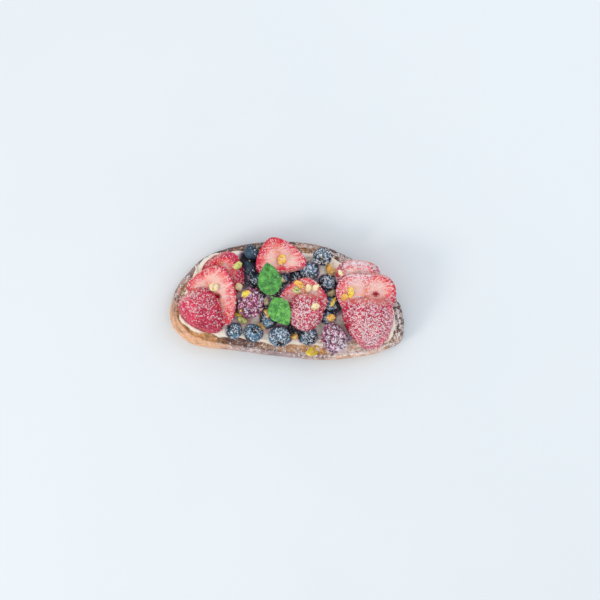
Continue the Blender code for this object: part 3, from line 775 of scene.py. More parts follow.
@dataclass(frozen=True)
class BrambleDrupelet:
    """Bramble beads: tight, juicy, near-black to wine-red skins that shine.

    The mark `bead` is a share of ripeness, one for each bead.
    """

    ripe: str = "58123C"
    red: str = "B03A6E"
    mottle_mm: float = 0.833
    dust: SugarDust = SugarDust(thick=0.85)

    def material(self) -> bpy.types.Material:
        """Builds the finish.

        Returns:
            The material.
        """
        mix = Mixture("bramble_drupelet")
        bead = mix.add("Attribute", out="Fac", attribute_name="bead")
        mottle = mix.add("TexNoise", {"mm": self.mottle_mm, "Detail": 3.0})
        share = mix.add("Math", {0: mottle, 1: 0.7, 2: -0.35}, operation="MULTIPLY_ADD")
        ripe = mix.add("Math", {0: bead, 1: share}, operation="ADD", use_clamp=True)
        colour, rough = self.dust.over(mix, mix.layered(self.ripe, [(ripe, self.red)]), 0.28)
        return mix.settled({
            "Base Color": colour,
            "Roughness": rough,
            "Normal": mix.add("Bump", {"Strength": 0.2, "Distance": 0.2 * MM, "Height": mottle}),
            "Subsurface Weight": 0.15,
            "Subsurface Radius": (1.0, 0.2, 0.3),
            "Subsurface Scale": 1.0 * MM,
            "Coat Weight": 0.2,
            "Coat Roughness": 0.2,
        })


@dataclass(frozen=True)
class MintLeafSkin:
    """Fresh mint: a soft green leaf, quilted between pale veins, with a waxy sheen.

    The mark `vein` is 1 on the midrib, the crease mark is 1 down in the creases over the finer
    veins, where dark green paints their shade, and `fresh` makes a leaf yellower and brighter.
    """

    deep: str = "287C35"
    bright: str = "7ED65C"
    vein: str = "8CC66E"
    # dark green painted shade down in the creases
    furrow: str = "164A20"
    mottle_mm: float = 1.4286
    pore_mm: float = 0.2  # leaf pores are finer: this is as fine as breaks up the sheen

    def material(self) -> bpy.types.Material:
        """Builds the finish.

        Returns:
            The material.
        """
        mix = Mixture("mint_leaf")
        vein, fresh, furrow = (
            mix.add("Attribute", out="Fac", attribute_name=mark) for mark in ("vein", "fresh", "furrow")
        )
        mottle = mix.add("TexNoise", {"mm": self.mottle_mm, "Detail": 4.0})
        pores = mix.add("TexNoise", {"mm": self.pore_mm, "Detail": 2.0})
        spread = mix.add("Math", {0: mottle, 1: 2.6, 2: -1.3}, operation="MULTIPLY_ADD")
        share = mix.add("Math", {0: fresh, 1: spread}, operation="ADD", use_clamp=True)
        # the creases are darkened: painted shade
        dark = mix.add("Math", {0: furrow, 1: 0.66}, operation="MULTIPLY")
        ribbed = mix.add("Math", {0: vein, 1: 0.6}, operation="MULTIPLY")
        layers = [(share, self.bright), (dark, self.furrow), (ribbed, self.vein)]
        return mix.settled({
            "Base Color": mix.layered(self.deep, layers),
            "Roughness": mix.add("MapRange", {"Value": pores, "To Min": 0.30, "To Max": 0.46}),
            "Normal": mix.add("Bump", {"Strength": 0.4, "Distance": 0.2 * MM, "Height": pores}),
            "Subsurface Weight": 0.12,
            "Subsurface Radius": (0.4, 1.0, 0.2),
            "Subsurface Scale": 0.6 * MM,
            "Sheen Weight": 0.08,
        })


@dataclass(frozen=True)
class ChoppedNut:
    """Roasted nuts chopped with a knife: waxy, pale cut faces and bits of browner skin.

    The marks `flesh` and `rind` hold the two colours of each bit.
    """

    fleck_mm: float = 1.1
    dust: SugarDust = SugarDust(thick=0.6)

    def material(self) -> bpy.types.Material:
        """Builds the finish.

        Returns:
            The material.
        """
        mix = Mixture("chopped_nut")
        flesh, rind = (mix.add("Attribute", attribute_name=mark) for mark in ("flesh", "rind"))
        fleck = mix.add("TexNoise", {"mm": self.fleck_mm, "Detail": 3.0})
        share = mix.add("MapRange", {"Value": fleck, "From Min": 0.48, "From Max": 0.64, "To Max": 0.8})
        colour, rough = self.dust.over(mix, mix.layered(flesh, [(share, rind)]), 0.5)
        return mix.settled({
            "Base Color": colour,
            "Roughness": rough,
            "Normal": mix.add("Bump", {"Strength": 0.4, "Distance": 0.2 * MM, "Height": fleck}),
            "Subsurface Weight": 0.1,
            "Subsurface Radius": (1.0, 0.7, 0.4),
            "Subsurface Scale": 1.0 * MM,
        })


@dataclass(frozen=True)
class PowderedSugar:
    """Sieved powdered sugar where it clumps: small, matt, near-white crumbs.

    The mark `tint` is the colour of each crumb, a little of what it lies on.
    """

    colour: str = "FBF8FA"
    patch_mm: float = 0.4167  # crystals are under 0.1 mm: drawn as coarse as shows

    def material(self) -> bpy.types.Material:
        """Builds the finish.

        Returns:
            The material.
        """
        mix = Mixture("powdered_sugar")
        patch = mix.add("TexNoise", {"mm": self.patch_mm, "Detail": 2.0})
        share = mix.add("MapRange", {"Value": patch, "From Min": 0.4, "From Max": 0.7, "To Max": 0.5})
        tint = mix.add("Attribute", attribute_name="tint")
        return mix.settled({
            "Base Color": mix.layered(tint, [(share, self.colour)]),
            "Roughness": mix.add("MapRange", {"Value": patch, "To Min": 0.8, "To Max": 0.95}),
            "Normal": mix.add("Bump", {"Strength": 0.3, "Distance": 0.05 * MM, "Height": patch}),
        })


# ---- the bread ----
# The crust's widest line, seen from above, clockwise from the left end.
BREAD_OUTLINE: tuple[Point2, ...] = (
    (-77.1, -10.4), (-73.2, 6.5), (-64.1, 18.2), (-52.8, 28.0), (-28.5, 35.8),
    (2.3, 37.7), (28.6, 33.2), (54.6, 18.8), (71.1, 2.3), (76.8, -14.2),
    (75.0, -27.6), (65.8, -32.9), (55.2, -36.8), (30.3, -40.0), (1.9, -38.7),
    (-31.0, -34.5), (-60.2, -30.4), (-72.9, -21.2),
)
SPINE = (Vector((-42.0, -2.0)), Vector((40.0, -5.0)))  # the outline is inset towards it
CRUMB_Z = 14.8
LIP_Z = 15.5


def smooth_outline(knots: Sequence[Point2], count: int) -> list[Vector]:
    """Evenly spaced points on the closed Catmull-Rom curve through the knots.

    Args:
        knots: the points that the curve passes.
        count: how many points are wanted.

    Returns:
        The points, in the knots' order.
    """
    steps = 48  # between two knots
    fine: list[Vector] = []
    total = len(knots)
    for i in range(total):
        a, b, c, d = (Vector(knots[(i + k) % total]) for k in (-1, 0, 1, 2))
        for step in range(steps):
            t = step / steps
            curve = 2 * b + (c - a) * t + (2 * a - 5 * b + 4 * c - d) * t**2
            fine.append(0.5 * (curve + (3 * b - a - 3 * c + d) * t**3))
    fine.append(fine[0])
    lengths = [0.0]
    for p, q in zip(fine, fine[1:]):
        lengths.append(lengths[-1] + (q - p).length)
    points = []
    k = 0
    for i in range(count):
        wanted = lengths[-1] * i / count
        while lengths[k + 1] < wanted:
            k += 1
        share = (wanted - lengths[k]) / (lengths[k + 1] - lengths[k])
        points.append(fine[k].lerp(fine[k + 1], share))
    return points


def inward(p: Vector) -> Vector:
    """The way from a place on the outline towards the bread's spine, of length 1.

    Args:
        p: the place.

    Returns:
        The way.
    """
    nearest, share = intersect_point_line(p, *SPINE)
    nearest = SPINE[0].lerp(SPINE[1], min(max(share, 0.0), 1.0))
    return (nearest - p).normalized()


@dataclass
class Bread:
    """The slice: a bulging, blistered crust round an open crumb."""

    sides: int = 960
    bulge_z: float = 6.2  # the height of the crust's widest line
    foot_inset: float = 3.4
    foot_steps: tuple[float, ...] = (10.0, 5.0, 1.2, 0.0)  # rings of the flat foot, further in by
    band: float = 3.5  # how far the crust's rim lies inside its widest line
    band_bumps: tuple[Bump, ...] = ((-68, -20, 20, 2.6), (76, -12, 16, 1), (-46, 30, 16, -0.7))
    crust_rings: int = 24
    crumb_reach: float = 15.0  # how far in from the rim the crumb is drawn finely
    crumb_rings: int = 42
    swell: float = 0.25
    swell_mm: float = 6.0
    pore_depth: float = 1.7
    pore_mm: float = 3.4
    pinhole_mm: float = 1.3
    dense_mm: float = 9.0  # parts of the crumb with few bubbles
    dent_mm: float = 9.0
    dent_depth: float = 0.4
    scale_mm: float = 3.2  # how wide the plates between the crust's cracks are
    crack_depth: float = 0.12
    fold_mm: float = 2.6  # how far the folds along the crust lie apart
    fold_stretch: float = 0.36
    streak_mm: float = 1.9
    streak: float = 0.52  # how much darker the toasted streaks along the folds are
    crust_toast: float = 0.55
    # (x, y, reach, darker by): partly the crust's own browning, partly painted light and shade: paler at
    # the lower left, where the key light falls, and darker along the top edge by the top strawberry
    crust_bumps: tuple[Bump, ...] = (
        (-60, -30, 26, -0.76), (-54, -32, 12, -0.16), (-78, -10, 14, -0.20),
        (-38, 34, 30, 0.30), (-8, 38, 16, 0.15), (77, -8, 17, 0.95),
        (46, -39, 22, -0.68), (-10, -40, 30, 0.20), (40, 30, 18, 0.50),
    )
    crumb_toast: float = 0.38
    crumb_bumps: tuple[Bump, ...] = (
        (-30, -31, 17, 0.60), (12, -33, 9, -0.12), (44, -37, 20, -0.52),
        (30, 30, 20, 0.40), (74, -18, 12, 0.60), (32, -37, 13, -0.22),
        (-57, -25, 12, -0.28),
    )
    # the greyish mauve over the crust: floury dust, and on the crust's sides, most along the bottom edge,
    # painted shade
    flour: float = 0.12
    flour_and_shade_bumps: tuple[Bump, ...] = (
        (-68, 14, 16, 0.35), (-14, -39, 27, 0.78), (24, -40, 22, 0.08),
        (46, 28, 20, 0.12), (77, -14, 20, 0.10), (-60, -30, 22, -0.25),
    )
    wrinkled: tuple[Bump, ...] = (
        (-68, -24, 22, 0.8), (76, -12, 22, 1), (40, 32, 24, 0.6), (-24, 38, 26, 0.5),
    )

    def crust_band(self, p: Vector) -> float:
        """How far the crust's rim lies inside its widest line."""
        return self.band + near(p.x, p.y, self.band_bumps)

    def pores(self, p: Vector) -> float:
        """How deep the crumb is open at a place, from 0 to 1: large and small bubbles.

        Args:
            p: the place.

        Returns:
            The share.
        """
        stretched = Vector((p.x, p.y * 1.3, 0.0))
        large = noise.voronoi(stretched / self.pore_mm + Vector((0.3, 0.1, 0.7)))[0]
        small = noise.voronoi(stretched / self.pinhole_mm + Vector((5.3, 2.1, 0.7)))[0]
        open_here = 1.0 if lumps(stretched, self.dense_mm, 1, 2.0) > -0.25 else 0.3
        hole = max(0.0, 1 - large[0] / 0.46) * open_here
        pit = max(0.0, 1 - small[0] / 0.5) * 0.6
        return min(1.0, max(math.sqrt(hole), pit))

    def shape(self) -> Shape:
        """The slice as rings of points, from the middle of its foot to its crumb.

        Returns:
            The closed shape with its marks.
        """
        outline = smooth_outline(BREAD_OUTLINE, self.sides)
        ways = [inward(p) for p in outline]
        bands = [self.crust_band(p) for p in outline]
        rings: list[list[tuple[float, float, float]]] = []
        crust: list[float] = []
        openings: list[float] = []

        def add_ring(
            steps: Sequence[float], heights: Sequence[float], share: float, opened: Sequence[float] = ()
        ) -> None:
            """Adds a ring of points.

            Args:
                steps: how far each lies inside the widest line.
                heights: how high each lies.
                share: how much of it is crust, from 0 to 1.
                opened: how deep the crumb is open at each.
            """
            rings.append([(*(p + w * s), h) for p, w, s, h in zip(outline, ways, steps, heights)])
            crust.extend([share] * self.sides)
            openings.extend(opened or [0.0] * self.sides)

        for extra in self.foot_steps:
            add_ring([self.foot_inset + extra] * self.sides, [0.0] * self.sides, 0.4 if extra else 0.8)
        for degrees in range(-63, 0, 9):
            turn = math.radians(degrees)
            step = self.foot_inset * (1 - math.cos(turn))
            add_ring([step] * self.sides, [self.bulge_z * (1 + math.sin(turn))] * self.sides, 1.0)
        for level in range(self.crust_rings):
            turn = math.pi / 2 * level / (self.crust_rings - 1)
            height = self.bulge_z + (LIP_Z - self.bulge_z) * math.sin(turn)
            add_ring([band * (1 - math.cos(turn)) for band in bands], [height] * self.sides, 1.0)
        for level in range(1, self.crumb_rings + 1):
            into = self.crumb_reach * (level / self.crumb_rings) ** 1.25
            heights = []
            opened = []
            for p, w, band in zip(outline, ways, bands):
                q = p + w * (band + into)
                ease = min(into / 0.8, 1.0)
                open_share = self.pores(q) * ease
                opened.append(open_share)
                swell = self.swell * lumps(Vector((*q, 0.0)), self.swell_mm, 2)
                level_z = LIP_Z + (CRUMB_Z - LIP_Z) * ease
                heights.append(level_z + swell * ease - self.pore_depth * open_share)
            add_ring([band + into for band in bands], heights, max(0.0, 1 - into / 0.9), opened)
        shape = lofted(rings).flipped().marked(toast=0.0, flour=0.0)
        shape.marks["crust"] = np.array(crust)
        for i, (x, y, _) in enumerate(shape.points):
            rind = self.crust_toast + near(x, y, self.crust_bumps)
            crumb = self.crumb_toast + near(x, y, self.crumb_bumps) + 0.12 - 0.45 * openings[i]
            shape.marks["toast"][i] = crumb + (rind - crumb) * crust[i]
            shape.marks["flour"][i] = (self.flour + near(x, y, self.flour_and_shade_bumps)) * (0.3 + 0.7 * crust[i])
        return self.crackled(shape)

    def crackled(self, shape: Shape) -> Shape:
        """Roughens the crust: shallow dents, folds along it, plates with cracks between them.

        Args:
            shape: the smooth slice, changed in place.

        Returns:
            The same shape.
        """
        middle = (SPINE[0] + SPINE[1]) / 2
        for i, (x, y, z) in enumerate(shape.points):
            share = shape.marks["crust"][i]
            if share < 0.5 or z < 0.3:
                continue
            p = Vector((x, y, z))
            flow = Vector(((x - middle.x) * self.fold_stretch, (y - middle.y) * self.fold_stretch, z * 1.1))
            dents = max(lumps(p, self.dent_mm, 2, 1.0), -0.3) * self.dent_depth
            plates = noise.voronoi((p + noise.noise_vector(p * 0.3) * 0.9) / self.scale_mm)[0]
            crack = max(0.0, 1 - (plates[1] - plates[0]) / 0.18)
            folds = near(x, y, self.wrinkled)
            ridge = 1 - abs(lumps(flow, self.fold_mm, 2, 4.0)) * 2.2
            wrinkle = (0.3 + 0.5 * folds) * (0.5 * ridge - 0.3)
            away = inward(Vector((x, y)))
            rise = max(0.0, (z - self.bulge_z) / (LIP_Z - self.bulge_z))
            push = dents - self.crack_depth * crack + wrinkle - 0.15
            out = math.sqrt(max(0.0, 1 - rise**2))
            shape.points[i] = (x - away.x * push * out, y - away.y * push * out, z + push * rise)
            streak = self.streak * lumps(flow, self.streak_mm, 2, 8.0)
            # darker down in the cracks and the troughs of the folds: painted shade; the raised dents and
            # the streaks are the crust's own browning
            shape.marks["toast"][i] += 0.25 * crack - 0.45 * min(wrinkle, 0.0) + 0.15 * dents + streak
        return shape

    def serve(self, table: Table) -> None:
        """Builds and dresses the slice."""
        shape = self.shape()
        table.serve("bread", shape, ToastedBread().material(), Slot.BREAD, ["bread_slice"], 0.9)


# ---- strawberries ----
@dataclass
class Strawberry:
    """A piece cut lengthwise from a hulled strawberry, and how it lies."""

    name: str
    x: float  # its middle, seen from above
    y: float
    length: float
    width: float
    low_cut: float  # the heights of its cuts as shares of the berry's half width
    high_cut: float
    tip: float  # where its tip points, in degrees
    downhill: float  # the way it leans down, and how far, in degrees
    lean: float
    skew: float
    taper: float
    number: int = 0
    hollow: tuple[float, float, float] | None = None  # an open core: x, y and its size
    paleness: float = 1.0  # how quickly the cut face turns pale from its rim

    sides: int = 150
    rings: int = 96
    shoulder: float = 0.60  # under 1 the widest part is nearer the stem end
    uneven: float = 0.035
    seed_gap: float = 2.75
    seed_steps: int = 400
    seed_rows: Point2 = (0.035, 0.985)  # the shares of the length that seeds grow between
    dimple: float = 0.95
    dimple_depth: float = 0.40
    seed_proud: float = 0.10  # how far a seed's middle is over the floor of its dimple
    seed_sizes: Point2 = (0.75, 1.0)
    face_rings: int = 22
    cut_rim: float = 0.7  # a rim this wide stays level round a cut, then the flesh sinks
    core_depth: float = 0.5
    core_ends: Point2 = (0.26, -0.20)  # where the core starts and ends along the length
    core_stops: int = 22
    pith_depth: float = 0.25
    rib_mm: float = 1.6
    rib_height: float = 0.12
    ripeness: float = 0.95  # how much redder the cut face is towards the tip

    def radius(self, along: float) -> float:
        """The berry's radius at a share of its length from the stem end."""
        return self.width / 2 * max(math.sin(math.pi * along**self.shoulder), 0.0) ** self.taper

    def warped(self, p: Vector) -> Vector:
        """A point of the even berry, moved to where the grown berry has it.

        Args:
            p: the point.

        Returns:
            Its new place.
        """
        grown = p * (1 + self.uneven * noise.noise(p * 0.09 + Vector((self.number * 9.0, 0, 0))))
        towards_tip = 0.5 - grown.y / self.length
        grown.x += self.skew * towards_tip**2 * 2
        return grown

    def seeds(self) -> list[tuple[Vector, Vector]]:
        """The places of the seeds and the ways out of the skin there, spaced evenly.

        Returns:
            The place and the way out for each seed.
        """
        steps = self.seed_steps
        stops = [math.pi * (i + 0.5) / steps for i in range(steps)]
        alongs = [(1 - math.cos(stop)) / 2 for stop in stops]
        areas = [
            math.tau * self.radius(along) * self.length * math.pi / 2 / steps * math.sin(stop)
            for along, stop in zip(alongs, stops)
        ]
        running = np.cumsum(areas)
        count = int(running[-1] / self.seed_gap**2)
        found = []
        for i in range(count):
            k = int(np.searchsorted(running, running[-1] * (i + 0.5) / count))
            along = alongs[min(k, steps - 1)]
            if not self.seed_rows[0] < along < self.seed_rows[1]:
                continue
            turn = i * GOLDEN_ANGLE + self.number
            r = self.radius(along)
            even = Vector((r * math.cos(turn), self.length * (0.5 - along), r * math.sin(turn)))
            p = self.warped(even)
            q = self.warped(even * 1.02)  # a little outside the skin
            slope = (self.radius(min(along + 0.02, 1.0)) - self.radius(along - 0.02)) / (0.04 * self.length)
            out = Vector((math.cos(turn), slope, math.sin(turn))).normalized()
            found.append((p, out if (q - p).dot(out) > 0 else -out))
        return found

    def body(self, seeds: Sequence[tuple[Vector, Vector]]) -> bmesh.types.BMesh:
        """The whole berry with a dimple round each seed.

        Args:
            seeds: the seeds' places and ways out.

        Returns:
            The body, with layers for its marks.
        """
        profile = [(0.0, self.length / 2)]
        for i in range(1, self.rings):
            along = (1 - math.cos(math.pi * i / self.rings)) / 2
            profile.append((self.radius(along), self.length * (0.5 - along)))
        profile.append((0.0, -self.length / 2))
        shape = turned(profile, self.sides).moved(turn_by(-90, "X"))
        finder = KDTree(max(len(seeds), 1))
        for i, (place, _) in enumerate(seeds):
            finder.insert(place, i)
        finder.balance()
        alongs = []
        for i, raw in enumerate(shape.points):
            p = self.warped(Vector(raw))
            alongs.append(0.5 - p.y / self.length)
            place, index, away = finder.find(p)
            if away is not None and away < self.dimple * 1.6:
                dip = self.dimple_depth * math.exp(-((away / self.dimple) ** 2) * 2)
                p -= seeds[index][1] * dip
            shape.points[i] = p
        bm = to_bmesh(shape)
        for name in FLESH_MARKS:
            bm.verts.layers.float.new(name)
        along_layer = bm.verts.layers.float["along"]
        for v, along in zip(bm.verts, alongs):
            v[along_layer] = along
        return bm

    def cut(self, bm: bmesh.types.BMesh, height: float, keep_above: bool) -> None:
        """Cuts the berry level and builds the cut face with its marks.

        Args:
            bm: the berry, changed in place.
            height: where it is cut.
            keep_above: whether the part above the cut stays.
        """
        bmesh.ops.bisect_plane(
            bm, geom=bm.verts[:] + bm.edges[:] + bm.faces[:], dist=1e-5, plane_co=(0, 0, height),
            plane_no=(0, 0, 1), clear_outer=not keep_above, clear_inner=keep_above,
        )
        loop = self.rim_loop(bm)
        layers = [bm.verts.layers.float[name] for name in FLESH_MARKS]
        along = bm.verts.layers.float["along"]
        top, foot = (self.length * end for end in self.core_ends)
        core = (Vector((0, top, height)), Vector((self.skew * 0.6, foot, height)))
        ends = []
        for v in loop:
            share = intersect_point_line(v.co, *core)[1]
            stop = round(min(max(share, 0.0), 1.0) * self.core_stops) / self.core_stops
            ends.append(core[0].lerp(core[1], stop))
        down = 1.0 if keep_above else -1.0
        runs = np.cumsum([0.0] + [(v.co - loop[i].co).length for i, v in enumerate(loop[1:])])
        girth = float(runs[-1] + (loop[0].co - loop[-1].co).length)
        turns = [math.tau * run / girth for run in runs]
        rounds = [(girth / math.tau * math.cos(t), girth / math.tau * math.sin(t)) for t in turns]
        before = loop
        for ring in range(1, self.face_rings + 1):
            share = (ring / self.face_rings) ** 0.9
            verts = []
            for v, end, (ring_x, ring_y) in zip(loop, ends, rounds):
                co = v.co.lerp(end, share)
                rim = (co - v.co).length
                pith = (co - end).length
                sink = self.core_depth * min(max((rim - self.cut_rim) / 3.0, 0.0), 1.0)
                sink += self.pith_depth * math.exp(-((pith / 1.2) ** 2))
                ribs = lumps(Vector((ring_x * 1.6, ring_y * 1.6, rim * 0.25)), self.rib_mm, 2, self.number)
                co.z += down * (sink + self.rib_height * ribs * min(pith / 1.5, 1.0))
                made = bm.verts.new(co)
                ripe = 1.1 - self.ripeness * (0.5 - co.y / self.length) ** 2
                marks = (rim * self.paleness * ripe, pith, ring_x, ring_y, 1.0, v[along])
                for layer, value in zip(layers, marks):
                    made[layer] = value
                verts.append(made)
            count = len(loop)
            for i in range(count):
                j = (i + 1) % count
                bm.faces.new((before[i], before[j], verts[j], verts[i]))
            before = verts
        bmesh.ops.remove_doubles(bm, verts=before, dist=0.02)

    @staticmethod
    def rim_loop(bm: bmesh.types.BMesh) -> list[bmesh.types.BMVert]:
        """The open rim's points in order.

        Args:
            bm: the cut berry.

        Returns:
            The points, once round.
        """
        edges = {e for e in bm.edges if e.is_boundary}
        start = next(iter(sorted(edges, key=lambda e: e.index)))
        loop = [start.verts[0], start.verts[1]]
        edges.discard(start)
        while True:
            step = next((e for e in loop[-1].link_edges if e in edges), None)
            if step is None:
                break
            edges.discard(step)
            other = step.other_vert(loop[-1])
            if other is loop[0]:
                break
            loop.append(other)
        return loop

    def seed_shape(self) -> Shape:
        """One seed, lying along Y: a small teardrop."""
        half = ((0.16, 0.60), (0.34, 0.28), (0.42, -0.08), (0.36, -0.40), (0.18, -0.58))
        return turned([(0.0, 0.72), *half, (0.0, -0.62)], 7).moved(Matrix.Diagonal((1.0, 0.62, 1.0, 1.0)))

    def build(self) -> tuple[Shape, Shape]:
        """The cut piece and its seeds, leaning in their place.

        Returns:
            The piece and its seeds.
        """
        seeds = self.seeds()
        bm = self.body(seeds)
        half = self.width / 2
        self.cut(bm, self.low_cut * half, keep_above=True)
        if self.high_cut < 1:
            self.cut(bm, self.high_cut * half, keep_above=False)
        bmesh.ops.recalc_face_normals(bm, faces=bm.faces)
        piece = from_bmesh(bm, FLESH_MARKS)
        downhill = math.radians(self.downhill)
        across = Vector((-math.sin(downhill), math.cos(downhill), 0))
        lay = turn_by(self.lean, across) @ turn_by(self.tip + 90, "Z")
        laid = piece.moved(lay)
        low, high = laid.points.min(0), laid.points.max(0)
        shift = Vector((self.x - (low[0] + high[0]) / 2, self.y - (low[1] + high[1]) / 2, 0))
        shift.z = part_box(self.name)[0].z / MM - low[2]
        matrix = Matrix.Translation(shift) @ lay
        grains = []
        clear = 0.3  # no seed is left nearer to a cut than this
        draw = random.Random(SEED + self.number)
        for place, out in seeds:
            if not self.low_cut * half + clear < place.z < self.high_cut * half - clear:
                continue
            tilt = out.to_track_quat("Y", "Z").to_matrix().to_4x4()
            roll = Matrix.Rotation(draw.uniform(-0.5, 0.5), 4, "Y")
            sunk = place - out * (self.dimple_depth - self.seed_proud)
            size = Matrix.Scale(draw.uniform(*self.seed_sizes), 4)
            grains.append(self.seed_shape().moved(matrix @ Matrix.Translation(sunk) @ tilt @ roll @ size))
        return self.hollowed(piece.moved(matrix)), joined(grains)

    def hollowed(self, shape: Shape) -> Shape:
        """Sinks the open core into the cut face, where the piece has one.

        Args:
            shape: the piece, changed in place.

        Returns:
            The same shape.
        """
        if self.hollow:
            x, y, size = self.hollow
            away = np.hypot((shape.points[:, 0] - x) * 0.75, shape.points[:, 1] - y)
            depth = np.exp(-((away / size) ** 4)) * shape.marks["face"]
            middle = shape.points[:, 2][away < size * 3].mean()
            depth *= shape.points[:, 2] > middle - 1.0
            shape.points[:, 2] -= depth * size
            # the same depth paints the hollow's shade in the finish
            shape.marks["hollow"] = depth
        return shape


STRAWBERRIES: tuple[Strawberry, ...] = (
    Strawberry("strawberry_left_rear", -41.2, 17.0, 31.5, 29.6, 0.40, 0.70, -58, -124, 15, 0.5, 0.52, 0),
    Strawberry(
        "strawberry_left_middle", -48.3, 2.4, 38.5, 31.0, -0.12, 0.12, -58, -124, 17, -1.5, 0.5, 1,
        hollow=(-45.2, 1.6, 1.9), paleness=1.22,
    ),
    Strawberry("strawberry_left_front", -55.8, -7.4, 34.0, 28.0, 0.26, 1.2, -55, -124, 18, 1.0, 0.50, 2),
    Strawberry(
        "strawberry_top", -3.6, 27.8, 25.0, 33.0, -0.10, 0.14, 98, 92, 21, 1.5, 0.62, 3,
        shoulder=0.45, paleness=1.3,
    ),
    Strawberry(
        "strawberry_centre_rear", 10.8, -0.2, 29.0, 30.6, -0.14, 0.12, -97, -86, 10, -0.6, 0.58, 4,
        shoulder=1.10, paleness=1.3,
    ),
    Strawberry(
        "strawberry_centre_front", 12.1, -8.5, 24.8, 24.5, 0.26, 1.2, -100, -86, 10, 0.3, 0.36, 5,
        shoulder=0.85,
    ),
    Strawberry(
        "strawberry_right_rear", 46.0, 11.4, 30.5, 31.0, 0.35, 0.66, -96, -88, 16, 0.0, 0.5, 6,
        paleness=1.9,
    ),
    Strawberry(
        "strawberry_right_middle", 51.2, -1.6, 37.0, 38.5, -0.10, 0.10, -92, -88, 16, 1.0, 0.5, 7,
        hollow=(57.4, 3.0, 1.9),
    ),
    Strawberry("strawberry_right_front", 52.6, -16.4, 37.5, 35.4, 0.28, 1.2, -93, -88, 17, 2.0, 0.54, 8),
)


@dataclass
class StrawberryFan:
    """All the strawberry pieces and their seeds."""

    pieces: tuple[Strawberry, ...] = STRAWBERRIES
    face_cling: float = 0.58

    def serve(self, table: Table) -> Shape:
        """Builds and dresses the pieces, and returns their bare shape.

        Args:
            table: where they are served.

        Returns:
            Their bare shape.
        """
        flesh = StrawberryFlesh().material()
        shapes = []
        grains = []
        for piece in self.pieces:
            shape, seeds = piece.build()
            shapes.append(shape)
            grains.append(seeds)
            clings = (1 - (1 - self.face_cling) * shape.marks["face"]) * (1 - shape.marks["hollow"])
            name = piece.name
            table.serve(name + "_slice", shape, flesh, Slot.STRAWBERRY, [name], clings, sharp=58.0)
        table.serve("strawberry_seeds", joined(grains), Achene().material(), clings=0.3)
        return joined([shape.bare() for shape in shapes])


# ---- blueberries ----
@dataclass
class Blueberry:
    """A blueberry, where it sits, and which way its crown points."""

    x: float
    y: float
    diameter: float
    crown_turn: float  # where the crown points, in degrees round and down from upright
    crown_tilt: float
    number: int = 0
    # how much bloom is left; kept low on berries 01, 02 and 15 so they come out darker: painted shade
    waxed: float = 1.0

    sides: int = 50
    side_rings: int = 27
    flatness: float = 0.88
    lobes: int = 5
    lobe_height: float = 0.15
    lobe_spread: float = 0.22

    def build(self) -> Shape:
        """The berry with its crater and the five dry lobes round it.

        Returns:
            The closed shape with its marks.
        """
        rings: list[tuple[float, float, float]] = [(0.0, 0.70, 1.0)]
        for radius in (0.07, 0.14, 0.20, 0.25):
            rings.append((radius, 0.70 + 0.6 * max(radius - 0.12, 0.0) ** 1.3, 1.0))
        for share in (0.25, 0.5, 0.75, 1.0):
            rings.append((0.25 + 0.09 * share, 0.745 + 0.19 * share, 1.0 if share < 1 else 0.8))
        for angle in (23.5, 26.0, 29.0, 33.0, 38.0):
            rings.append((math.sin(math.radians(angle)), math.cos(math.radians(angle)), 0.0))
        for k in range(1, self.side_rings):
            angle = 38.0 + (180 - 38.0) * k / self.side_rings
            rings.append((math.sin(math.radians(angle)), math.cos(math.radians(angle)), 0.0))
        rings.append((0.0, -1.0, 0.0))
        shape = turned([(r, h) for r, h, _ in rings], self.sides)
        crown = [share for _, _, share in rings[1:-1] for _ in range(self.sides)] + [1.0, 0.0]
        shape.marked(waxed=self.waxed).marks["crown"] = np.array(crown)
        size = self.diameter / 2
        for i, (x, y, z) in enumerate(shape.points):
            turn = math.atan2(y, x)
            radius = math.hypot(x, y)
            if 0.24 < radius < 0.44 and z > 0.7:
                lobe = max(0.0, math.cos(turn * self.lobes + self.number)) ** 1.5
                weight = math.exp(-(((radius - 0.345) / 0.045) ** 2))
                z += self.lobe_height * lobe * weight
                wider = 1 + self.lobe_spread * lobe * weight
                x, y = x * wider, y * wider
                if lobe * weight > 0.25:
                    shape.marks["crown"][i] = max(shape.marks["crown"][i], 0.7)
            p = Vector((x, y, z))
            p *= 1 + 0.03 * lumps(p, 0.9, 1, self.number) + 0.006 * lumps(p, 0.12, 1, self.number)
            shape.points[i] = p * size
        squash = Matrix.Diagonal((1, 1, self.flatness, 1))
        pointed = turn_by(self.crown_turn, "Z") @ turn_by(self.crown_tilt, "Y")
        return shape.moved(pointed @ squash).set_down(self.node, self.x, self.y)

    @property
    def node(self) -> str:
        """The name of its solid."""
        return f"blueberry_{self.number:02d}"


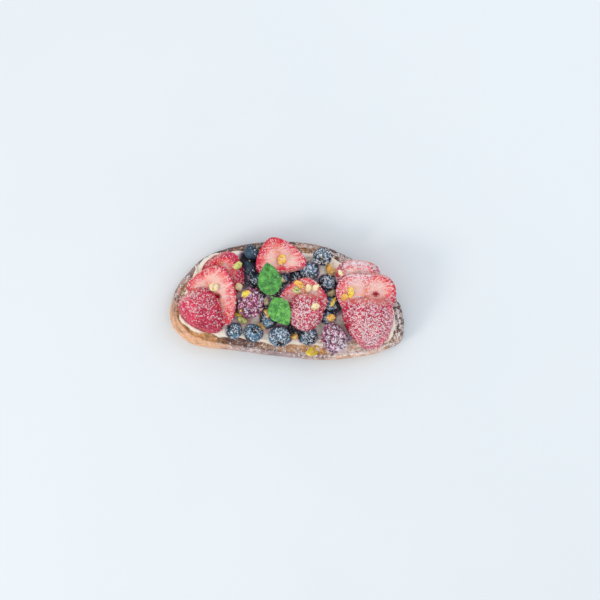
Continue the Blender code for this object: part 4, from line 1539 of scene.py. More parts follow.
BLUEBERRIES: tuple[Blueberry, ...] = (
    # a seventh number is the bloom left; low on 01, 02 and 15 as painted shade where they sit among the
    # fruit
    Blueberry(-22.8, 30.2, 10.4, 40, 60, 1, 0.45),
    Blueberry(-24.2, 20.2, 10.0, 200, 75, 2, 0.35),
    Blueberry(23.0, 27.2, 12.3, 250, 35, 3, 0.5),
    Blueberry(14.6, 18.0, 12.2, 300, 70, 4, 0.75),
    Blueberry(-2.8, 13.9, 8.2, 20, 80, 5),
    Blueberry(5.8, 13.7, 8.0, 150, 80, 6),
    Blueberry(26.6, 11.0, 10.4, 80, 65, 7, 0.8),
    Blueberry(29.0, -3.4, 9.0, 330, 40, 8),
    Blueberry(26.8, -12.0, 8.4, 200, 70, 9),
    Blueberry(-34.2, -20.8, 11.0, 130, 55, 10),
    Blueberry(-22.0, -22.2, 12.2, 60, 30, 11),
    Blueberry(-4.8, -24.4, 14.0, 280, 45, 12),
    Blueberry(14.0, -24.4, 11.6, 340, 70, 13),
    Blueberry(-12.2, -13.4, 10.0, 180, 75, 14),
    Blueberry(-19.8, 12.6, 8.2, 90, 80, 15, 0.40),
)


# ---- bramble berries ----
@dataclass
class Bramble:
    """A berry of many small round beads, lying on its side."""

    name: str
    x: float
    y: float
    length: float
    width: float
    height: float
    tip: float  # where its tip points, in degrees
    beads: int
    bead: float  # how wide a bead is
    cone: float  # how much slimmer it gets towards its tip
    number: int = 0

    bead_inset: float = 0.36  # how far in the beads' middles lie, as a share of a bead
    bead_sizes: Point2 = (0.96, 1.04)
    ripest: float = 0.75

    def build(self) -> Shape:
        """The beads round their core, joined to one body.

        Returns:
            The closed shape with its mark.
        """
        inset = Vector((1, 1, 1)) * self.bead * self.bead_inset
        half = Vector((self.width, self.length, self.height)) / 2 - inset
        draw = random.Random(SEED + self.number)
        core = bmesh.new()
        bmesh.ops.create_uvsphere(core, u_segments=24, v_segments=16, radius=1)
        for v in core.verts:
            v.co = Vector([v.co[k] * half[k] for k in range(3)])
            v.co.x *= 1 - self.cone * v.co.y / half.y
        shapes = [from_bmesh(core).marked(bead=0.2)]
        for i in range(self.beads):
            along = 1 - 2 * (i + 0.5) / self.beads
            ring = math.sqrt(1 - along**2)
            angle = i * GOLDEN_ANGLE
            x, z = ring * math.cos(angle) * half.x, ring * math.sin(angle) * half.z
            place = Vector((x, along * half.y, z))
            place.x *= 1 - self.cone * place.y / half.y
            shapes.append(self.drupelet(place, draw))
        laid = self.union(shapes).moved(turn_by(self.tip - 90, "Z"))
        return laid.set_down(self.name, self.x, self.y)

    def drupelet(self, place: Vector, draw: random.Random) -> Shape:
        """One bead: round, a little flattened, with a nick where its hair was.

        Args:
            place: its middle, seen from the berry's.
            draw: the random numbers.

        Returns:
            The bead.
        """
        bm = bmesh.new()
        radius = self.bead / 2 * draw.uniform(*self.bead_sizes)
        bmesh.ops.create_uvsphere(bm, u_segments=20, v_segments=14, radius=radius)
        for v in bm.verts:
            top = v.co.z / (self.bead / 2)
            v.co *= 1 + 0.05 * lumps(v.co + place, 2.0)
            if top > 0.9:
                v.co.z -= 0.5 * (top - 0.9) * self.bead
        shape = from_bmesh(bm).marked(bead=draw.uniform(0.0, self.ripest))
        turn = place.to_track_quat("Z", "Y").to_matrix().to_4x4()
        return shape.moved(Matrix.Translation(place) @ turn)

    @staticmethod
    def union(shapes: Sequence[Shape]) -> Shape:
        """One body of overlapping bodies; each point keeps the mark of the bead it is on.

        Args:
            shapes: the core and the beads.

        Returns:
            The one body.
        """
        collection = bpy.data.collections.new("beads")
        bpy.context.scene.collection.children.link(collection)
        objects = [bpy.data.objects.new("bead", plain_mesh(shape, "bead")) for shape in shapes]
        host, beads = objects[0], objects[1:]
        bpy.context.scene.collection.objects.link(host)
        for bead in beads:
            collection.objects.link(bead)
        union = host.modifiers.new("Union", "BOOLEAN")
        union.operation = "UNION"
        union.operand_type = "COLLECTION"
        union.collection = collection
        union.solver = "MANIFOLD"
        bpy.context.view_layer.update()
        mesh = bpy.data.meshes.new_from_object(host.evaluated_get(bpy.context.evaluated_depsgraph_get()))
        for obj in objects:
            bpy.data.objects.remove(obj)
        bpy.data.collections.remove(collection)
        bm = bmesh.new()
        bm.from_mesh(mesh)
        result = from_bmesh(bm)
        finder = KDTree(sum(len(s.points) for s in shapes))
        values = np.concatenate([s.marks["bead"] for s in shapes])
        for i, p in enumerate(np.concatenate([s.points for s in shapes])):
            finder.insert(Vector(p), i)
        finder.balance()
        result.marks["bead"] = np.array([values[finder.find(Vector(p))[1]] for p in result.points])
        return result


BRAMBLES: tuple[Bramble, ...] = (
    Bramble("bramble_left", -23.0, -2.6, 19.8, 16.2, 14.5, 75, 34, 5.1, 0.10, 1),
    Bramble("bramble_right", 30.4, -25.2, 19.8, 16.2, 14.0, 107, 34, 5.1, 0.24, 2),
)


@dataclass
class SmallBerries:
    """The blueberries and the bramble berries."""

    blueberries: tuple[Blueberry, ...] = BLUEBERRIES
    brambles: tuple[Bramble, ...] = BRAMBLES

    def serve(self, table: Table) -> Shape:
        """Builds and dresses the berries, and returns their bare shape.

        Args:
            table: where they are served.

        Returns:
            Their bare shape.
        """
        shapes = []
        bloom = BloomedBlueberry().material()
        for berry in self.blueberries:
            shape = berry.build()
            shapes.append(shape)
            table.serve(berry.node + "_fruit", shape, bloom, Slot.BLUEBERRY, [berry.node], 0.96, sharp=70.0)
        beads = BrambleDrupelet().material()
        for bramble in self.brambles:
            shape = bramble.build()
            shapes.append(shape)
            table.serve(bramble.name + "_fruit", shape, beads, Slot.BRAMBLE, [bramble.name], 0.9)
        return joined([shape.bare() for shape in shapes])


# ---- the cream ----
@dataclass
class Cream:
    """The cream: an uneven layer with rounded edges, dented and squeezed up by the fruit."""

    inset: float = 6.9
    inset_bumps: tuple[Bump, ...] = (
        (-48, 26, 17, -3), (-70, -12, 10, 1.3), (72, -12, 12, -1),
        (66, -28, 8, -1.6), (14, -37, 11, 4.2), (44, -37, 15, 4),
        (-30, -33, 11, 3.1), (-6, -36, 6, -0.4), (20, 33, 9, -1.4),
        (-58, -26, 14, 2.5),
    )
    # (x, y, reach, further out by): where it was spread over the crust's rim
    over_rim: tuple[Bump, ...] = (
        (-54, 24, 9, 3.2), (-44, 30, 8, 2.6), (-34, 34, 7, 2.4), (72, -8, 7, 1.2),
    )
    # (x, y, reach, higher by): on the rim there, and under what lies on it
    rim_heaps: tuple[Bump, ...] = ((-52, 23, 7, 2.2), (-43, 29, 7, 2.4), (-34, 32, 6, 2))
    heaps: tuple[Bump, ...] = (
        (-41, 19, 9, 9), (-50, 4, 9, 6), (10, 0, 10, 9),
        (46, 13, 9, 9), (52, -2, 11, 6), (-3, 22, 8, 7),
        (-12.5, 2, 5, 4),
    )
    # (x, y, reach, more by): where the berries' dark juice ran and painted shade lies in the gaps between
    # the fruit, then the strawberries' pink
    juice_and_shade_spots: tuple[Bump, ...] = (
        (-26, 25, 6, 1), (-23, 13, 8, 1.1), (-14, 8, 7, 0.9), (-31.5, -4, 4, 0.9),
        (-31, -10, 5, 0.7), (-14, -7, 6, 0.8), (-3, -15, 6, 0.7), (7, -19, 7, 0.9),
        (7, 17, 7, 0.9), (31, 6, 5, 1), (34, -4, 6, 1), (25, -8, 5, 0.9),
        (40, -27, 4, 0.8), (-5, 5, 6, 0.7), (21, 6, 5, 0.7), (-19, 30, 5, 0.7),
    )
    blushes: tuple[Bump, ...] = ((-27, -13, 6, 0.9), (38, -22, 5, 0.7), (-13, -19, 4, 0.6))
    # (x, y, z, radius) up the small peak at the edge
    flick: tuple[tuple[float, float, float, float], ...] = (
        (-55.6, 16.2, 16.4, 2.2), (-56.8, 17.6, 18.4, 1.6), (-58, 19, 20, 1.1),
        (-58.9, 20.5, 21, 0.6), (-59.2, 21.6, 21.5, 0.2),
    )
    flick_sides: int = 20
    thickness: float = 4.0
    round_mm: float = 2.6  # how far in from its edge the layer is rounded
    wave_run: int = 96  # how many radians the waves along the edge run through
    squeeze: float = 0.9  # how much higher the cream is right beside the fruit
    squeeze_reach: float = 1.7
    # how far the pink and dark marks reach from a piece; round the berries the dark one is painted contact
    # shade as well as juice
    juice_and_shade_reach: float = 1.5
    least_gap: float = 0.9  # the edge keeps this far inside the crust's rim
    clear: float = 0.1  # the cream's least height over the crumb
    spine_stops: int = 160
    sides: int = 480
    rings: int = 80

    def relief(self, p: Vector) -> float:
        """The thickness of the cream as it was spread, with the knife's ridges.

        Args:
            p: the place.

        Returns:
            The thickness.
        """
        swirl = 0.55 * math.sin(p.x * 0.30 + 2.2 * math.sin(p.y * 0.13))
        rolling = 0.9 * noise.noise(Vector((p.x, p.y, 3.0)) * 0.11)
        phase = lumps(Vector((p.x, p.y, 0.0)), 12.0, 2, 3.0) * 9.0 + p.y * 0.35
        ridge = 0.6 * (1 - abs(math.sin(phase))) ** 2
        fine = 0.22 * (1 - abs(math.sin(phase * 3.7 + 1.0)))
        heaped = near(p.x, p.y, self.heaps) + near(p.x, p.y, self.rim_heaps)
        return self.thickness + swirl + rolling + ridge + fine + heaped

    def build(self, fruit: BVHTree, bread: Bread) -> Shape:
        """The layer, pressed down by the fruit on it.

        Args:
            fruit: everything that lies in the cream.
            bread: the slice under it.

        Returns:
            The cream's closed shape.
        """
        outline = smooth_outline(BREAD_OUTLINE, self.sides)
        edge: list[Vector] = []
        ends: list[Vector] = []
        for i, p in enumerate(outline):
            turn = i * self.wave_run / self.sides
            waves = 0.8 * math.sin(turn * 0.52) + 0.5 * math.sin(turn * 1.31)
            waves += 0.5 * lumps(Vector((p.x, p.y, 0.0)), 4.0, 2, 6.0)
            step = self.inset + near(p.x, p.y, self.inset_bumps) + waves
            over = near(p.x, p.y, self.over_rim)
            least = bread.crust_band(p) + self.least_gap - over
            edge.append(p + inward(p) * max(step - over, least))
            share = intersect_point_line(p, *SPINE)[1]
            stop = round(min(max(share, 0.0), 1.0) * self.spine_stops) / self.spine_stops
            ends.append(SPINE[0].lerp(SPINE[1], stop))
        lowest = CRUMB_Z + self.clear
        rings = [[(*q, CRUMB_Z - 0.6) for q in edge]]  # the edge starts down in the crumb
        for ring in range(self.rings):
            share = (ring / (self.rings - 1)) ** 1.35
            points = []
            for q, end in zip(edge, ends):
                p = q.lerp(end, share)
                into = (p - q).length
                rounding = math.sqrt(max(0.0, 1 - (1 - min(into / self.round_mm, 1.0)) ** 2))
                points.append((p.x, p.y, lowest + self.relief(p) * (0.06 + 0.94 * rounding)))
            rings.append(points)
        shape = lofted(rings)
        shape.faces.pop()  # the last ring lies flat on the spine and needs no cap
        for i in range(self.sides, len(shape.points)):
            shape.points[i, 2] = max(self.under(fruit, Vector(shape.points[i])), lowest)
        return joined([welded(shape.flipped()), self.flicked()])

    def under(self, tree: BVHTree, p: Vector) -> float:
        """The cream's height at a place: pushed down under the fruit, up beside it.

        Args:
            tree: the fruit.
            p: the place, as high as the cream was spread.

        Returns:
            The height.
        """
        hit = tree.ray_cast(Vector((p.x, p.y, -SKY)), UP)[0]
        if hit is not None and hit.z < p.z + 0.3:
            return hit.z + 0.15
        away = tree.find_nearest(p, 4.0)[3]
        if away is None:
            return p.z
        return p.z + self.squeeze * math.exp(-((away / self.squeeze_reach) ** 2))

    def flicked(self) -> Shape:
        """The small peak that the knife pulled up at the edge.

        Returns:
            The peak.
        """
        turns = [math.tau * k / self.flick_sides for k in range(self.flick_sides)]
        return lofted([
            [(x + radius * math.cos(turn), y + radius * math.sin(turn), z) for turn in turns]
            for x, y, z, radius in self.flick
        ])

    def soaked_and_shaded(self, shape: Shape, berries: BVHTree, slices: BVHTree) -> Shape:
        """Marks where the juice has run into the cream and paints shade round the berries, darkest in the
        gaps between them.

        Args:
            shape: the cream, changed in place.
            berries: the small berries.
            slices: the strawberry pieces.

        Returns:
            The same shape.
        """
        juices_and_shade = (("plum", berries, 0.85, self.juice_and_shade_spots), ("pink", slices, 0.75, self.blushes))
        for mark, tree, amount, runs in juices_and_shade:
            values = np.zeros(len(shape.points))
            for i, p in enumerate(shape.points):
                away = tree.find_nearest(Vector(p), 5.0)[3]
                if away is not None:
                    # beside each berry the dark mark paints its contact shade as well as juice
                    values[i] = amount * math.exp(-((away / self.juice_and_shade_reach) ** 2))
                values[i] += near(p[0], p[1], runs)
            shape.marks[mark] = values.clip(0.0, 1.0)
        return shape

    def serve(self, table: Table, berries: Shape, slices: Shape, bread: Bread) -> None:
        """Builds and dresses the cream.

        Args:
            table: where it is served.
            berries: the small berries.
            slices: the strawberry pieces.
            bread: the slice.
        """
        shape = self.build(joined([berries, slices]).tree(), bread)
        shape = self.soaked_and_shaded(shape, berries.tree(), slices.tree())
        table.serve("cream_layer", shape, WhippedCream().material(), Slot.CREAM, ["cream"], 0.2)


# ---- mint ----
@dataclass
class MintLeaf:
    """A mint leaf, from its base to its tip, arched with its ends lower than its middle."""

    name: str
    base_x: float
    base_y: float
    length: float
    width: float
    points_to: float  # in degrees, as are its rise towards the tip and its roll
    rise: float
    roll: float
    curl: float  # how much lower its ends are than its middle
    fresh: float

    rows: int = 150
    columns: int = 84
    thickness: float = 0.5
    fold: float = 0.16  # how steeply its halves rise from the midrib
    teeth: int = 11
    tooth_depth: float = 0.08
    veins: int = 8
    pucker_mm: float = 1.5  # the size of the cushions between the finest veins
    quilt: float = 0.56  # how high those cushions stand
    midrib: float = 0.40
    ripple: float = 0.45

    def half_width(self, share: float) -> float:
        """The half width as a share of the widest, from base (0) to tip (1).

        Args:
            share: the place along the leaf.

        Returns:
            The half width.
        """
        if not 0 < share < 1:
            return 0.03
        return max(math.sin(math.pi * share**0.80) ** 0.75, 0.03)

    def veining(self, across: float, along: float) -> tuple[float, float]:
        """How near a place is to the veins.

        Args:
            across: the signed distance from the midrib in millimetres.
            along: the share of the way from base to tip.

        Returns:
            The nearness to the midrib and to the creases over the finer veins, 0 to 1.
        """
        side = abs(across) / (self.width / 2)
        mid = math.exp(-((across / (0.30 * (1.2 - along))) ** 2))
        wander = noise.noise(Vector((across * 0.45, along * 9.0, self.points_to)))
        phase = (along - 0.32 * side**1.2 - 0.02) * self.veins + wander
        off = abs(phase - round(phase)) / self.veins * self.length
        lateral = math.exp(-((off / 0.34) ** 2)) * (1 - 0.5 * side) if 0 < phase < self.veins - 0.5 else 0.0
        gaps = noise.voronoi(Vector((across, along * self.length, self.points_to)) / self.pucker_mm)[0]
        net = max(0.0, 1 - (gaps[1] - gaps[0]) / 0.30)
        fade = 0.75 + 0.8 * noise.noise(Vector((across, along * self.length, 3.0)) * 0.35)
        return mid, min(1.0, (0.85 * lateral + 0.60 * net) * fade)

    def build(self) -> Shape:
        """The leaf as a thin closed body.

        Returns:
            The leaf's closed shape with its marks.
        """
        points: list[tuple[float, float, float]] = []
        veins: list[float] = []
        creases: list[float] = []
        for row in range(self.rows + 1):
            along = row / self.rows
            saw = (along * self.teeth) % 1.0
            tooth = 1 - self.tooth_depth * (saw**1.6 if 0.03 < along < 0.97 else 0.0)
            edge = self.width / 2 * self.half_width(along)
            for column in range(self.columns + 1):
                across = 2 * column / self.columns - 1
                reach = abs(across)
                side = across * edge * (1 - (1 - tooth) * reach**4)
                lift = along + 0.02 * (1 - tooth) * reach**4
                mid, crease = self.veining(side, along)
                ripple = self.ripple * math.sin(along * 19 + 2.0 * across) * reach**1.5
                quilt = self.quilt * (1 - crease) * (1 - 0.4 * reach) - self.midrib * mid
                height = self.fold * abs(side) + ripple + quilt - self.curl * (2 * along - 1) ** 2
                points.append((side, lift * self.length, height))
                veins.append(mid)
                creases.append(crease * (1 - mid))
        count = len(points)
        top = np.array(points, float)
        under = top - np.array((0.0, 0.0, self.thickness))
        columns = self.columns + 1
        quads = grid_faces(self.rows + 1, columns, False)
        faces = quads + [tuple(count + i for i in reversed(q)) for q in quads]
        rim = list(range(columns)) + [r * columns + self.columns for r in range(1, self.rows + 1)]
        rim += [self.rows * columns + c for c in range(self.columns - 1, -1, -1)]
        rim += [r * columns for r in range(self.rows - 1, 0, -1)]
        for a, b in zip(rim, rim[1:] + rim[:1]):
            faces.append((b, a, count + a, count + b))
        # the crease mark darkens the creases in the finish: painted shade
        marks = {"vein": np.array(veins * 2), "furrow": np.array(creases * 2)}
        shape = Shape(np.concatenate([top, under]), faces, marks).marked(fresh=self.fresh)
        pointed = turn_by(self.points_to - 90, "Z") @ turn_by(self.rise, "X") @ turn_by(self.roll, "Y")
        base = Matrix.Translation((self.base_x, self.base_y, 0))
        return shape.moved(base @ pointed).set_down(self.name)


@dataclass
class MintSprig:
    """Two leaves and the stem below them."""

    leaves: tuple[MintLeaf, ...] = (
        MintLeaf("mint_leaf_upper", -9.8, 2.4, 21.5, 15.8, 97, 13, 2, 1.0, 0.40),
        MintLeaf("mint_leaf_lower", -8.4, 0.4, 19.5, 16.0, -62, 3, 19, 1.4, 0.56),
    )
    stem: tuple[tuple[float, float, float], ...] = (
        (-10.4, 1.8, -6.4), (-10.1, 1.6, -4.6), (-9.5, 1.2, -2.8), (-9.1, 1.0, -1.7),
    )
    stem_radius: float = 0.65
    stem_rings: int = 24
    stem_sides: int = 14

    def stem_shape(self) -> Shape:
        """A round stem with a swelling at its top, set at its solid's height.

        Returns:
            The stem's closed shape with its marks.
        """
        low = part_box("mint_stem")[0].z / MM - min(p[2] for p in self.stem) + self.stem_radius * 0.5
        knots = [Vector(p) + Vector((0, 0, low)) for p in self.stem]
        rings = []
        steps = self.stem_rings
        turns = [math.tau * s / self.stem_sides for s in range(self.stem_sides)]
        for k in range(steps + 1):
            t = k / steps * (len(knots) - 1)
            i = min(int(t), len(knots) - 2)
            centre = knots[i].lerp(knots[i + 1], t - i)
            radius = self.stem_radius * (0.86 + 0.2 * math.exp(-(((k - steps) / 5) ** 2)))
            ring = [centre + Vector((math.cos(turn), math.sin(turn), 0)) * radius for turn in turns]
            rings.append([tuple(p) for p in ring])
        return lofted(rings).marked(vein=0.8, furrow=0.0, fresh=0.8)

    def serve(self, table: Table) -> None:
        """Builds and dresses the sprig.

        Args:
            table: where it is served.
        """
        green = MintLeafSkin().material()
        for leaf in self.leaves:
            table.serve(leaf.name + "_blade", leaf.build(), green, Slot.MINT, [leaf.name], 0.004)
        table.serve("mint_sprig_stem", self.stem_shape(), green, Slot.MINT, ["mint_stem"], 0.008)


# ---- nuts, crumbs and sugar ----
@dataclass
class Nut:
    """A chopped piece of nut, where it lies and its colour."""

    x: float
    y: float
    length: float
    width: float
    turn: float
    tone: Tone


NUTS: tuple[Nut, ...] = (
    Nut(-32.0, 21.6, 5.2, 4.2, 20, Tone.OLIVE),
    Nut(-47.4, 8.3, 6.4, 4.8, -30, Tone.CREAM),
    Nut(-2.8, 25.4, 6.2, 4.6, 60, Tone.GOLD),
    Nut(-26.0, 2.8, 5.0, 4.4, 10, Tone.YELLOW),
    Nut(-31.2, 8.0, 5.0, 4.0, 80, Tone.CREAM),
    Nut(-13.4, -1.6, 4.2, 3.2, 70, Tone.CREAM),
    Nut(-13.0, -9.8, 6.0, 3.6, 100, Tone.GOLD),
    Nut(-31.6, -9.6, 4.2, 3.0, 0, Tone.YELLOW),
    Nut(-28.8, -13.6, 5.6, 3.8, -25, Tone.OLIVE),
    Nut(-16.2, -17.6, 5.4, 3.0, -40, Tone.GOLD),
    Nut(-2.6, 12.6, 3.6, 3.0, 0, Tone.CREAM),
    Nut(8.3, 9.6, 6.2, 3.6, -30, Tone.GOLD),
    Nut(6.0, 6.2, 6.0, 3.2, -40, Tone.OLIVE),
    Nut(13.8, 7.0, 5.0, 3.4, 80, Tone.CREAM),
    Nut(18.6, 7.4, 5.0, 3.2, 40, Tone.CREAM),
    Nut(18.2, -4.6, 5.0, 4.2, 15, Tone.CREAM),
    Nut(27.6, 19.4, 7.4, 3.8, 100, Tone.GOLD),
    Nut(29.6, 18.0, 4.2, 3.2, 0, Tone.GOLD),
    Nut(35.4, 17.2, 5.0, 4.0, 30, Tone.CREAM),
    Nut(29.0, 3.8, 5.8, 4.0, 70, Tone.CREAM),
    Nut(29.8, -2.0, 5.4, 2.0, 65, Tone.YELLOW),
    Nut(28.6, -12.2, 4.6, 4.0, 10, Tone.GOLD),
    Nut(41.2, 4.4, 6.0, 3.8, 80, Tone.YELLOW),
    Nut(37.6, 1.2, 4.6, 4.0, 20, Tone.GOLD),
    Nut(5.0, -25.0, 4.6, 4.0, 30, Tone.GOLD),
    Nut(16.4, -34.8, 7.4, 5.6, -20, Tone.YELLOW),
)


@dataclass
class Scatter:
    """The chopped nuts, nut crumbs and bread crumbs on top."""

    nuts: tuple[Nut, ...] = NUTS
    corners: int = 14
    height: float = 0.62  # a nut's height as a share of its width
    lift: float = 0.30  # how far its middle stands over the ground, as a share of its width
    swell: float = 1.32  # how much more of a nut shows than its solid's bare hull
    crispness: float = 11.0  # how sharp the edges between the cut faces are
    grain_mm: float = 1.4  # how coarse the cut faces are
    crumb_count: int = 170
    nut_crumb_count: int = 90
    nut_crumb_reach: float = 4.5
    nut_crumb_sizes: Point2 = (0.7, 1.7)
    crumb_sizes: Point2 = (0.4, 1.3)
    crumb_band: Point2 = (2.0, 9.0)  # how far inside the widest line the crumbs fall

    def chip(self, draw: random.Random, length: float, width: float, height: float) -> bmesh.types.BMesh:
        """A bit with flat faces, the hull of corners drawn on an ellipsoid.

        Args:
            draw: the random numbers.
            length: its size along X.
            width: along Y.
            height: and along Z.

        Returns:
            The bit.
        """
        bm = bmesh.new()
        for _ in range(self.corners):
            corner = Vector([draw.gauss(0, 1) for _ in range(3)]).normalized()
            bm.verts.new((corner.x * length / 2, corner.y * width / 2, corner.z * height / 2))
        hull = bmesh.ops.convex_hull(bm, input=bm.verts)
        unused = {v for v in hull["geom_interior"] if isinstance(v, bmesh.types.BMVert)}
        bmesh.ops.delete(bm, geom=list(unused), context="VERTS")
        bmesh.ops.dissolve_limit(bm, angle_limit=math.radians(14), verts=bm.verts, edges=bm.edges)
        bmesh.ops.recalc_face_normals(bm, faces=bm.faces)
        return bm

    def softened(self, chip: bmesh.types.BMesh, seed: float) -> Shape:
        """The same bit with its edges worn round and its cut faces grainy.

        Args:
            chip: the bit, which is freed.
            seed: a number of its own.

        Returns:
            The worn bit.
        """
        least = 0.15 * max(v.co.length for v in chip.verts)
        walls = [f.normal / max(f.normal.dot(f.verts[0].co), least) for f in chip.faces]
        hull = from_bmesh(chip)
        bm = bmesh.new()
        bmesh.ops.create_icosphere(bm, subdivisions=4, radius=1.0)
        for v in bm.verts:
            way = v.co.normalized()
            nearness = sum(max(way.dot(wall), 0.0) ** self.crispness for wall in walls)
            v.co = way * nearness ** (-1 / self.crispness)
            v.co += way * (0.12 * lumps(v.co, self.grain_mm, 2, seed) + 0.03 * lumps(v.co, 0.35, 1, seed))
        soft = from_bmesh(bm)
        soft.points *= np.ptp(hull.points, axis=0) / np.ptp(soft.points, axis=0)
        return soft

    def toned(self, shape: Shape, tone: Tone) -> Shape:
        """The bit with its two colours as marks.

        Args:
            shape: the bit, changed in place.
            tone: its colours.

        Returns:
            The same bit.
        """
        for mark, code in zip(("flesh", "rind"), tone.value):
            shape.marks[mark] = np.tile(np.array(linear_colour(code)), (len(shape.points), 1))
        return shape

    def laid(self, shape: Shape, place: Vector, normal: Vector, lift: float, turn: float) -> Shape:
        """The bit laid on a face.

        Args:
            shape: the bit.
            place: where on the face.
            normal: the way out of the face.
            lift: how far out its middle is.
            turn: how it is turned, in radians.

        Returns:
            The laid bit.
        """
        lay = UP.rotation_difference(normal).to_matrix().to_4x4()
        spin = Matrix.Rotation(turn, 4, "Z")
        return shape.moved(Matrix.Translation(place + normal * lift) @ lay @ spin)

    def serve(self, table: Table) -> None:
        """Builds and dresses the nuts and the crumbs on what is below them.

        Args:
            table: what is served so far.
        """
        ground = Ground(table.served)
        bits = []
        for number, nut in enumerate(self.nuts):
            draw = random.Random(SEED * 100 + number)
            size = nut.width * self.swell
            chip = self.chip(draw, nut.length * self.swell, size, size * self.height)
            shape = self.softened(chip, number)
            _, _, place, normal = ground.below(nut.x, nut.y)
            upright = (normal + UP * 1.5).normalized()
            laid = self.laid(shape, place, upright, nut.width * self.lift, math.radians(nut.turn))
            bits.append(self.toned(laid, nut.tone))
        draw = random.Random(SEED)
        for _ in range(self.nut_crumb_count):
            nut = draw.choice(self.nuts)
            reach = self.nut_crumb_reach
            found = ground.below(nut.x + draw.gauss(0, reach), nut.y + draw.gauss(0, reach))
            if found is None or found[3].z < 0.5 or found[0].slot is Slot.MINT:
                continue
            size = draw.uniform(*self.nut_crumb_sizes)
            shape = from_bmesh(self.chip(draw, size, size * 0.8, size * 0.6))
            laid = self.laid(shape, found[2], found[3], size * 0.15, draw.uniform(0, 6.3))
            bits.append(self.toned(laid, nut.tone))
        table.serve("chopped_nuts", joined(bits), ChoppedNut().material(), clings=0.14, sharp=40.0)
        self.serve_crumbs(table, ground, draw)

    def serve_crumbs(self, table: Table, ground: Ground, draw: random.Random) -> None:
        """Scatters toasted crumbs along the open crumb.

        Args:
            table: where they are served.
            ground: what is below them.
            draw: the random numbers.
        """
        outline = smooth_outline(BREAD_OUTLINE, 400)
        bits = []
        for _ in range(self.crumb_count):
            p = draw.choice(outline)
            q = p + inward(p) * draw.uniform(*self.crumb_band)
            found = ground.below(q.x, q.y)
            if found is None or found[2].z > CRUMB_Z + 2.0:
                continue
            size = draw.uniform(*self.crumb_sizes)
            shape = from_bmesh(self.chip(draw, size, size * 0.85, size * 0.7))
            shape.marked(crust=draw.choice((0.0, 0.0, 1.0)), toast=draw.uniform(0.1, 0.8), flour=0.2)
            bits.append(self.laid(shape, found[2], found[3], size * 0.2, draw.uniform(0, 6.3)))
        toasted = bpy.data.materials["toasted_bread"]
        table.serve("toast_crumbs", joined(bits), toasted, Slot.BREAD, clings=0.5, sharp=30.0)


# What shows through a thin grain of sugar on each kind of piece.
SHOWS_THROUGH: dict[Slot | None, str] = {
    Slot.STRAWBERRY: "EAB2BF",
    Slot.BLUEBERRY: "C4D6E4",
    Slot.BRAMBLE: "DCC3DC",
    Slot.BREAD: "E6D0C2",
    Slot.CREAM: "F5EEE6",
}


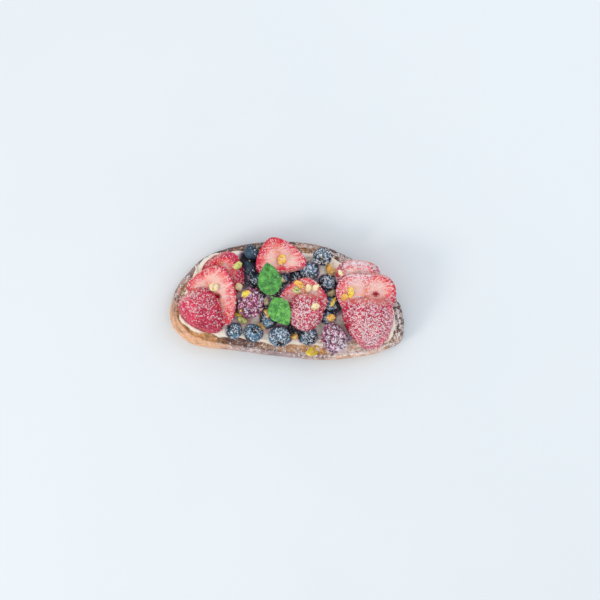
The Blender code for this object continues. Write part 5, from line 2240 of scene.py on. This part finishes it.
@dataclass
class Sieve:
    """Powdered sugar sieved over the toast: dust in the finishes and clumps as grains."""

    # (x, y, reach, more by): where the sieve was held longer
    drifts: tuple[Bump, ...] = (
        (52, -14, 26, 0.17), (12, -10, 15, 0.26), (46, 18, 11, 1.30),
        (76, -14, 12, 0.55), (-22, -4, 12, 0.30), (20, 24, 14, 0.20),
        (-58, -6, 14, 0.06), (44, -39, 20, 0.70), (-64, -28, 20, -0.65),
        (-80, -8, 12, -0.50), (-38, 35, 17, -0.32), (-14, -39, 16, -0.20),
        (-24, 24, 10, -0.42), (-44, 5, 12, -0.12), (-64, 0, 9, 0.16),
        (32, -25, 8, 0.22), (-5, -24, 9, 0.18),
    )
    base: float = 0.45  # the fall where there is no drift, and the most anywhere
    most: float = 1.6
    grains: int = 26000
    tries: int = 312000  # so many places are tried at most
    radius: float = 0.20
    spread: float = 0.36  # how unequal the grains are
    patch_mm: float = 1.15  # the sugar clings in patches about this size
    bread_patch_mm: float = 2.4
    patch_share: float = 0.38
    patch_contrast: float = 3.4
    largest: float = 0.46
    steepest: float = 0.18  # grains stay where the way out of the face points up this much

    def fall(self, x: float, y: float) -> float:
        """How much sugar falls at a place, about 0 to 1."""
        return min(max(self.base + near(x, y, self.drifts), 0.0), self.most)

    def dust(self, table: Table, sky: BVHTree) -> None:
        """Marks every point with the sugar that reaches it and stays.

        Args:
            table: the pieces.
            sky: all of them, to see what shades a point.
        """
        for served in table.served:
            mesh = served.piece.data
            normals = np.empty((len(mesh.vertices), 3), np.float32)
            mesh.vertex_normals.foreach_get("vector", normals.ravel())
            values = np.zeros(len(served.shape.points), np.float32)
            for i, p in enumerate(served.shape.points):
                up = float(normals[i][2])
                cling = served.clings[i]
                if up < 0.05 or cling < 0.05:
                    continue
                start = Vector((p[0], p[1], p[2] + 0.25)) + Vector(normals[i]) * 0.15
                if sky.ray_cast(start, UP)[0] is not None:
                    continue
                values[i] = self.fall(p[0], p[1]) * cling * min(1.0, up * 1.3)
            layer = mesh.attributes.new("sugar", "FLOAT", "POINT")
            layer.data.foreach_set("value", values)

    def clump(self, draw: random.Random, radius: float, slot: Slot | None) -> Shape:
        """One crumb of sugar, tinted by what it lies on: eight faces, or four on a small one.

        Args:
            draw: the random numbers.
            radius: its size.
            slot: what it lies on.

        Returns:
            The crumb.
        """
        faces = [(4, 0, 1), (4, 1, 2), (4, 2, 3), (4, 3, 0), (5, 1, 0), (5, 2, 1), (5, 3, 2), (5, 0, 3)]
        points = np.array([(1, 0, 0), (0, 1, 0), (-1, 0, 0), (0, -1, 0), (0, 0, 0.8), (0, 0, -0.8)], float)
        if radius < self.radius:
            faces = [(3, 0, 1), (3, 1, 2), (3, 2, 0), (0, 2, 1)]
            points = np.array([(1.2, 0, -0.3), (-0.6, 1.0, -0.3), (-0.6, -1.0, -0.3), (0, 0, 1.0)], float)
        points *= np.array([[draw.uniform(0.7, 1.3)] for _ in points]) * radius
        white = np.array(linear_colour(PowderedSugar.colour))
        through = np.array(linear_colour(SHOWS_THROUGH.get(slot, PowderedSugar.colour)))
        tint = white + (through - white) * draw.uniform(0.1, 0.9)
        return Shape(points, faces, {"tint": np.tile(tint, (len(points), 1))})

    def serve(self, table: Table) -> None:
        """Dusts the pieces and scatters the grains.

        Args:
            table: what is served so far.
        """
        ground = Ground(table.served)
        self.dust(table, ground.tree)
        draw = random.Random(SEED)
        low, high = ground.whole.points.min(0), ground.whole.points.max(0)
        grains: list[Shape] = []
        for _ in range(self.tries):
            if len(grains) == self.grains:
                break
            x, y = draw.uniform(low[0], high[0]), draw.uniform(low[1], high[1])
            found = ground.below(x, y)
            if found is None or found[3].z < self.steepest:
                continue
            served, point, place, normal = found
            size = self.bread_patch_mm if served.slot is Slot.BREAD else self.patch_mm
            patch = self.patch_share + self.patch_contrast * lumps(Vector((x, y, 0.0)), size, 2, 5.0)
            if draw.random() > self.fall(x, y) * served.clings[point] * patch * min(1.0, normal.z * 1.4):
                continue
            radius = min(self.radius * math.exp(draw.gauss(0, self.spread)), self.largest)
            spin = Matrix.Rotation(draw.uniform(0, math.tau), 4, "Z")
            tip = Matrix.Rotation(draw.uniform(0, 1.0), 4, "X")
            clump = self.clump(draw, radius, served.slot)
            grains.append(clump.moved(Matrix.Translation(place + normal * radius * 0.3) @ (spin @ tip)))
        table.serve("sugar_grains", joined(grains), PowderedSugar().material(), sharp=20.0)


# ---- the stage ----
@dataclass
class Studio:
    """A pale floor, soft light from the lower left, and a camera straight above."""

    mm_per_pixel: float = 0.65
    frame_pixels: int = 600
    origin_pixel: Point2 = (286.8, 299.0)
    lens_mm: float = 100.0
    sensor_mm: float = 36.0
    aim_z: float = 20.0
    floor_colour: str = "E9EEF1"
    floor_wash: str = "E4EBEF"
    floor_radius: float = 4.0
    wash_mm: float = 50.0
    sky_colour: str = "EEF2F6"
    sky_strength: float = 0.89

    def build(self) -> None:
        """Makes the floor, the lights, the world and the camera."""
        centre = self.frame_pixels / 2
        x = (centre - self.origin_pixel[0]) * self.mm_per_pixel
        y = (self.origin_pixel[1] - centre) * self.mm_per_pixel
        width = self.frame_pixels * self.mm_per_pixel
        distance = width * self.lens_mm / self.sensor_mm
        camera = in_scene("camera", bpy.data.cameras.new("camera"))
        camera.data.lens = self.lens_mm
        camera.data.sensor_width = self.sensor_mm
        camera.location = (x * MM, y * MM, (distance + self.aim_z) * MM)
        bpy.context.scene.camera = camera
        self.light("key", (-1.00, -0.55, 0.85), 0.45, 5.6, "FFF6EC")
        self.light("second", (0.70, 0.55, 0.90), 0.7, 3.1, "F4F6FF")
        world = bpy.data.worlds.new("studio")
        world.use_nodes = True
        sky = world.node_tree.nodes["Background"]
        sky.inputs["Color"].default_value = linear_colour(self.sky_colour)
        sky.inputs["Strength"].default_value = self.sky_strength
        bpy.context.scene.world = world
        bpy.context.scene.view_settings.view_transform = "Standard"
        self.floor()

    def light(
        self, name: str, place: tuple[float, float, float], size: float, power: float, colour: str
    ) -> None:
        """Adds a square soft light aimed at the toast.

        Args:
            name: its name.
            place: where it stands, in metres.
            size: its side in metres.
            power: its power in watts.
            colour: its colour.
        """
        lamp = bpy.data.lights.new(name, "AREA")
        lamp.size = size
        lamp.energy = power
        lamp.color = linear_colour(colour)[:3]
        stand = in_scene(name, lamp)
        stand.location = place
        stand.rotation_mode = "QUATERNION"
        aim = Vector((0, 0, self.aim_z * MM)) - Vector(place)
        stand.rotation_quaternion = aim.to_track_quat("-Z", "Y")

    def floor(self) -> None:
        """Makes the plain pale floor."""
        mix = Mixture("pale_floor")
        wash = mix.add("TexNoise", {"mm": self.wash_mm, "Detail": 2.0})
        colour = mix.layered(self.floor_colour, [(wash, self.floor_wash)])
        material = mix.settled({"Base Color": colour, "Roughness": 0.6, "Specular IOR Level": 0.2})
        mesh = bpy.data.meshes.new("floor")
        bm = bmesh.new()
        bmesh.ops.create_circle(bm, cap_ends=True, segments=96, radius=self.floor_radius)
        bm.to_mesh(mesh)
        bm.free()
        mesh.materials.append(material)
        in_scene("floor", mesh)


def main() -> None:
    """Builds the studio and the toast, from the bread up to the sugar."""
    logging.basicConfig(level=logging.INFO, format="%(message)s")
    Studio().build()
    table = Table()
    bread = Bread()
    bread.serve(table)
    berries = SmallBerries().serve(table)
    slices = StrawberryFan().serve(table)
    Cream().serve(table, berries, slices, bread)
    MintSprig().serve(table)
    Scatter().serve(table)
    Sieve().serve(table)


if __name__ == "__main__":
    main()
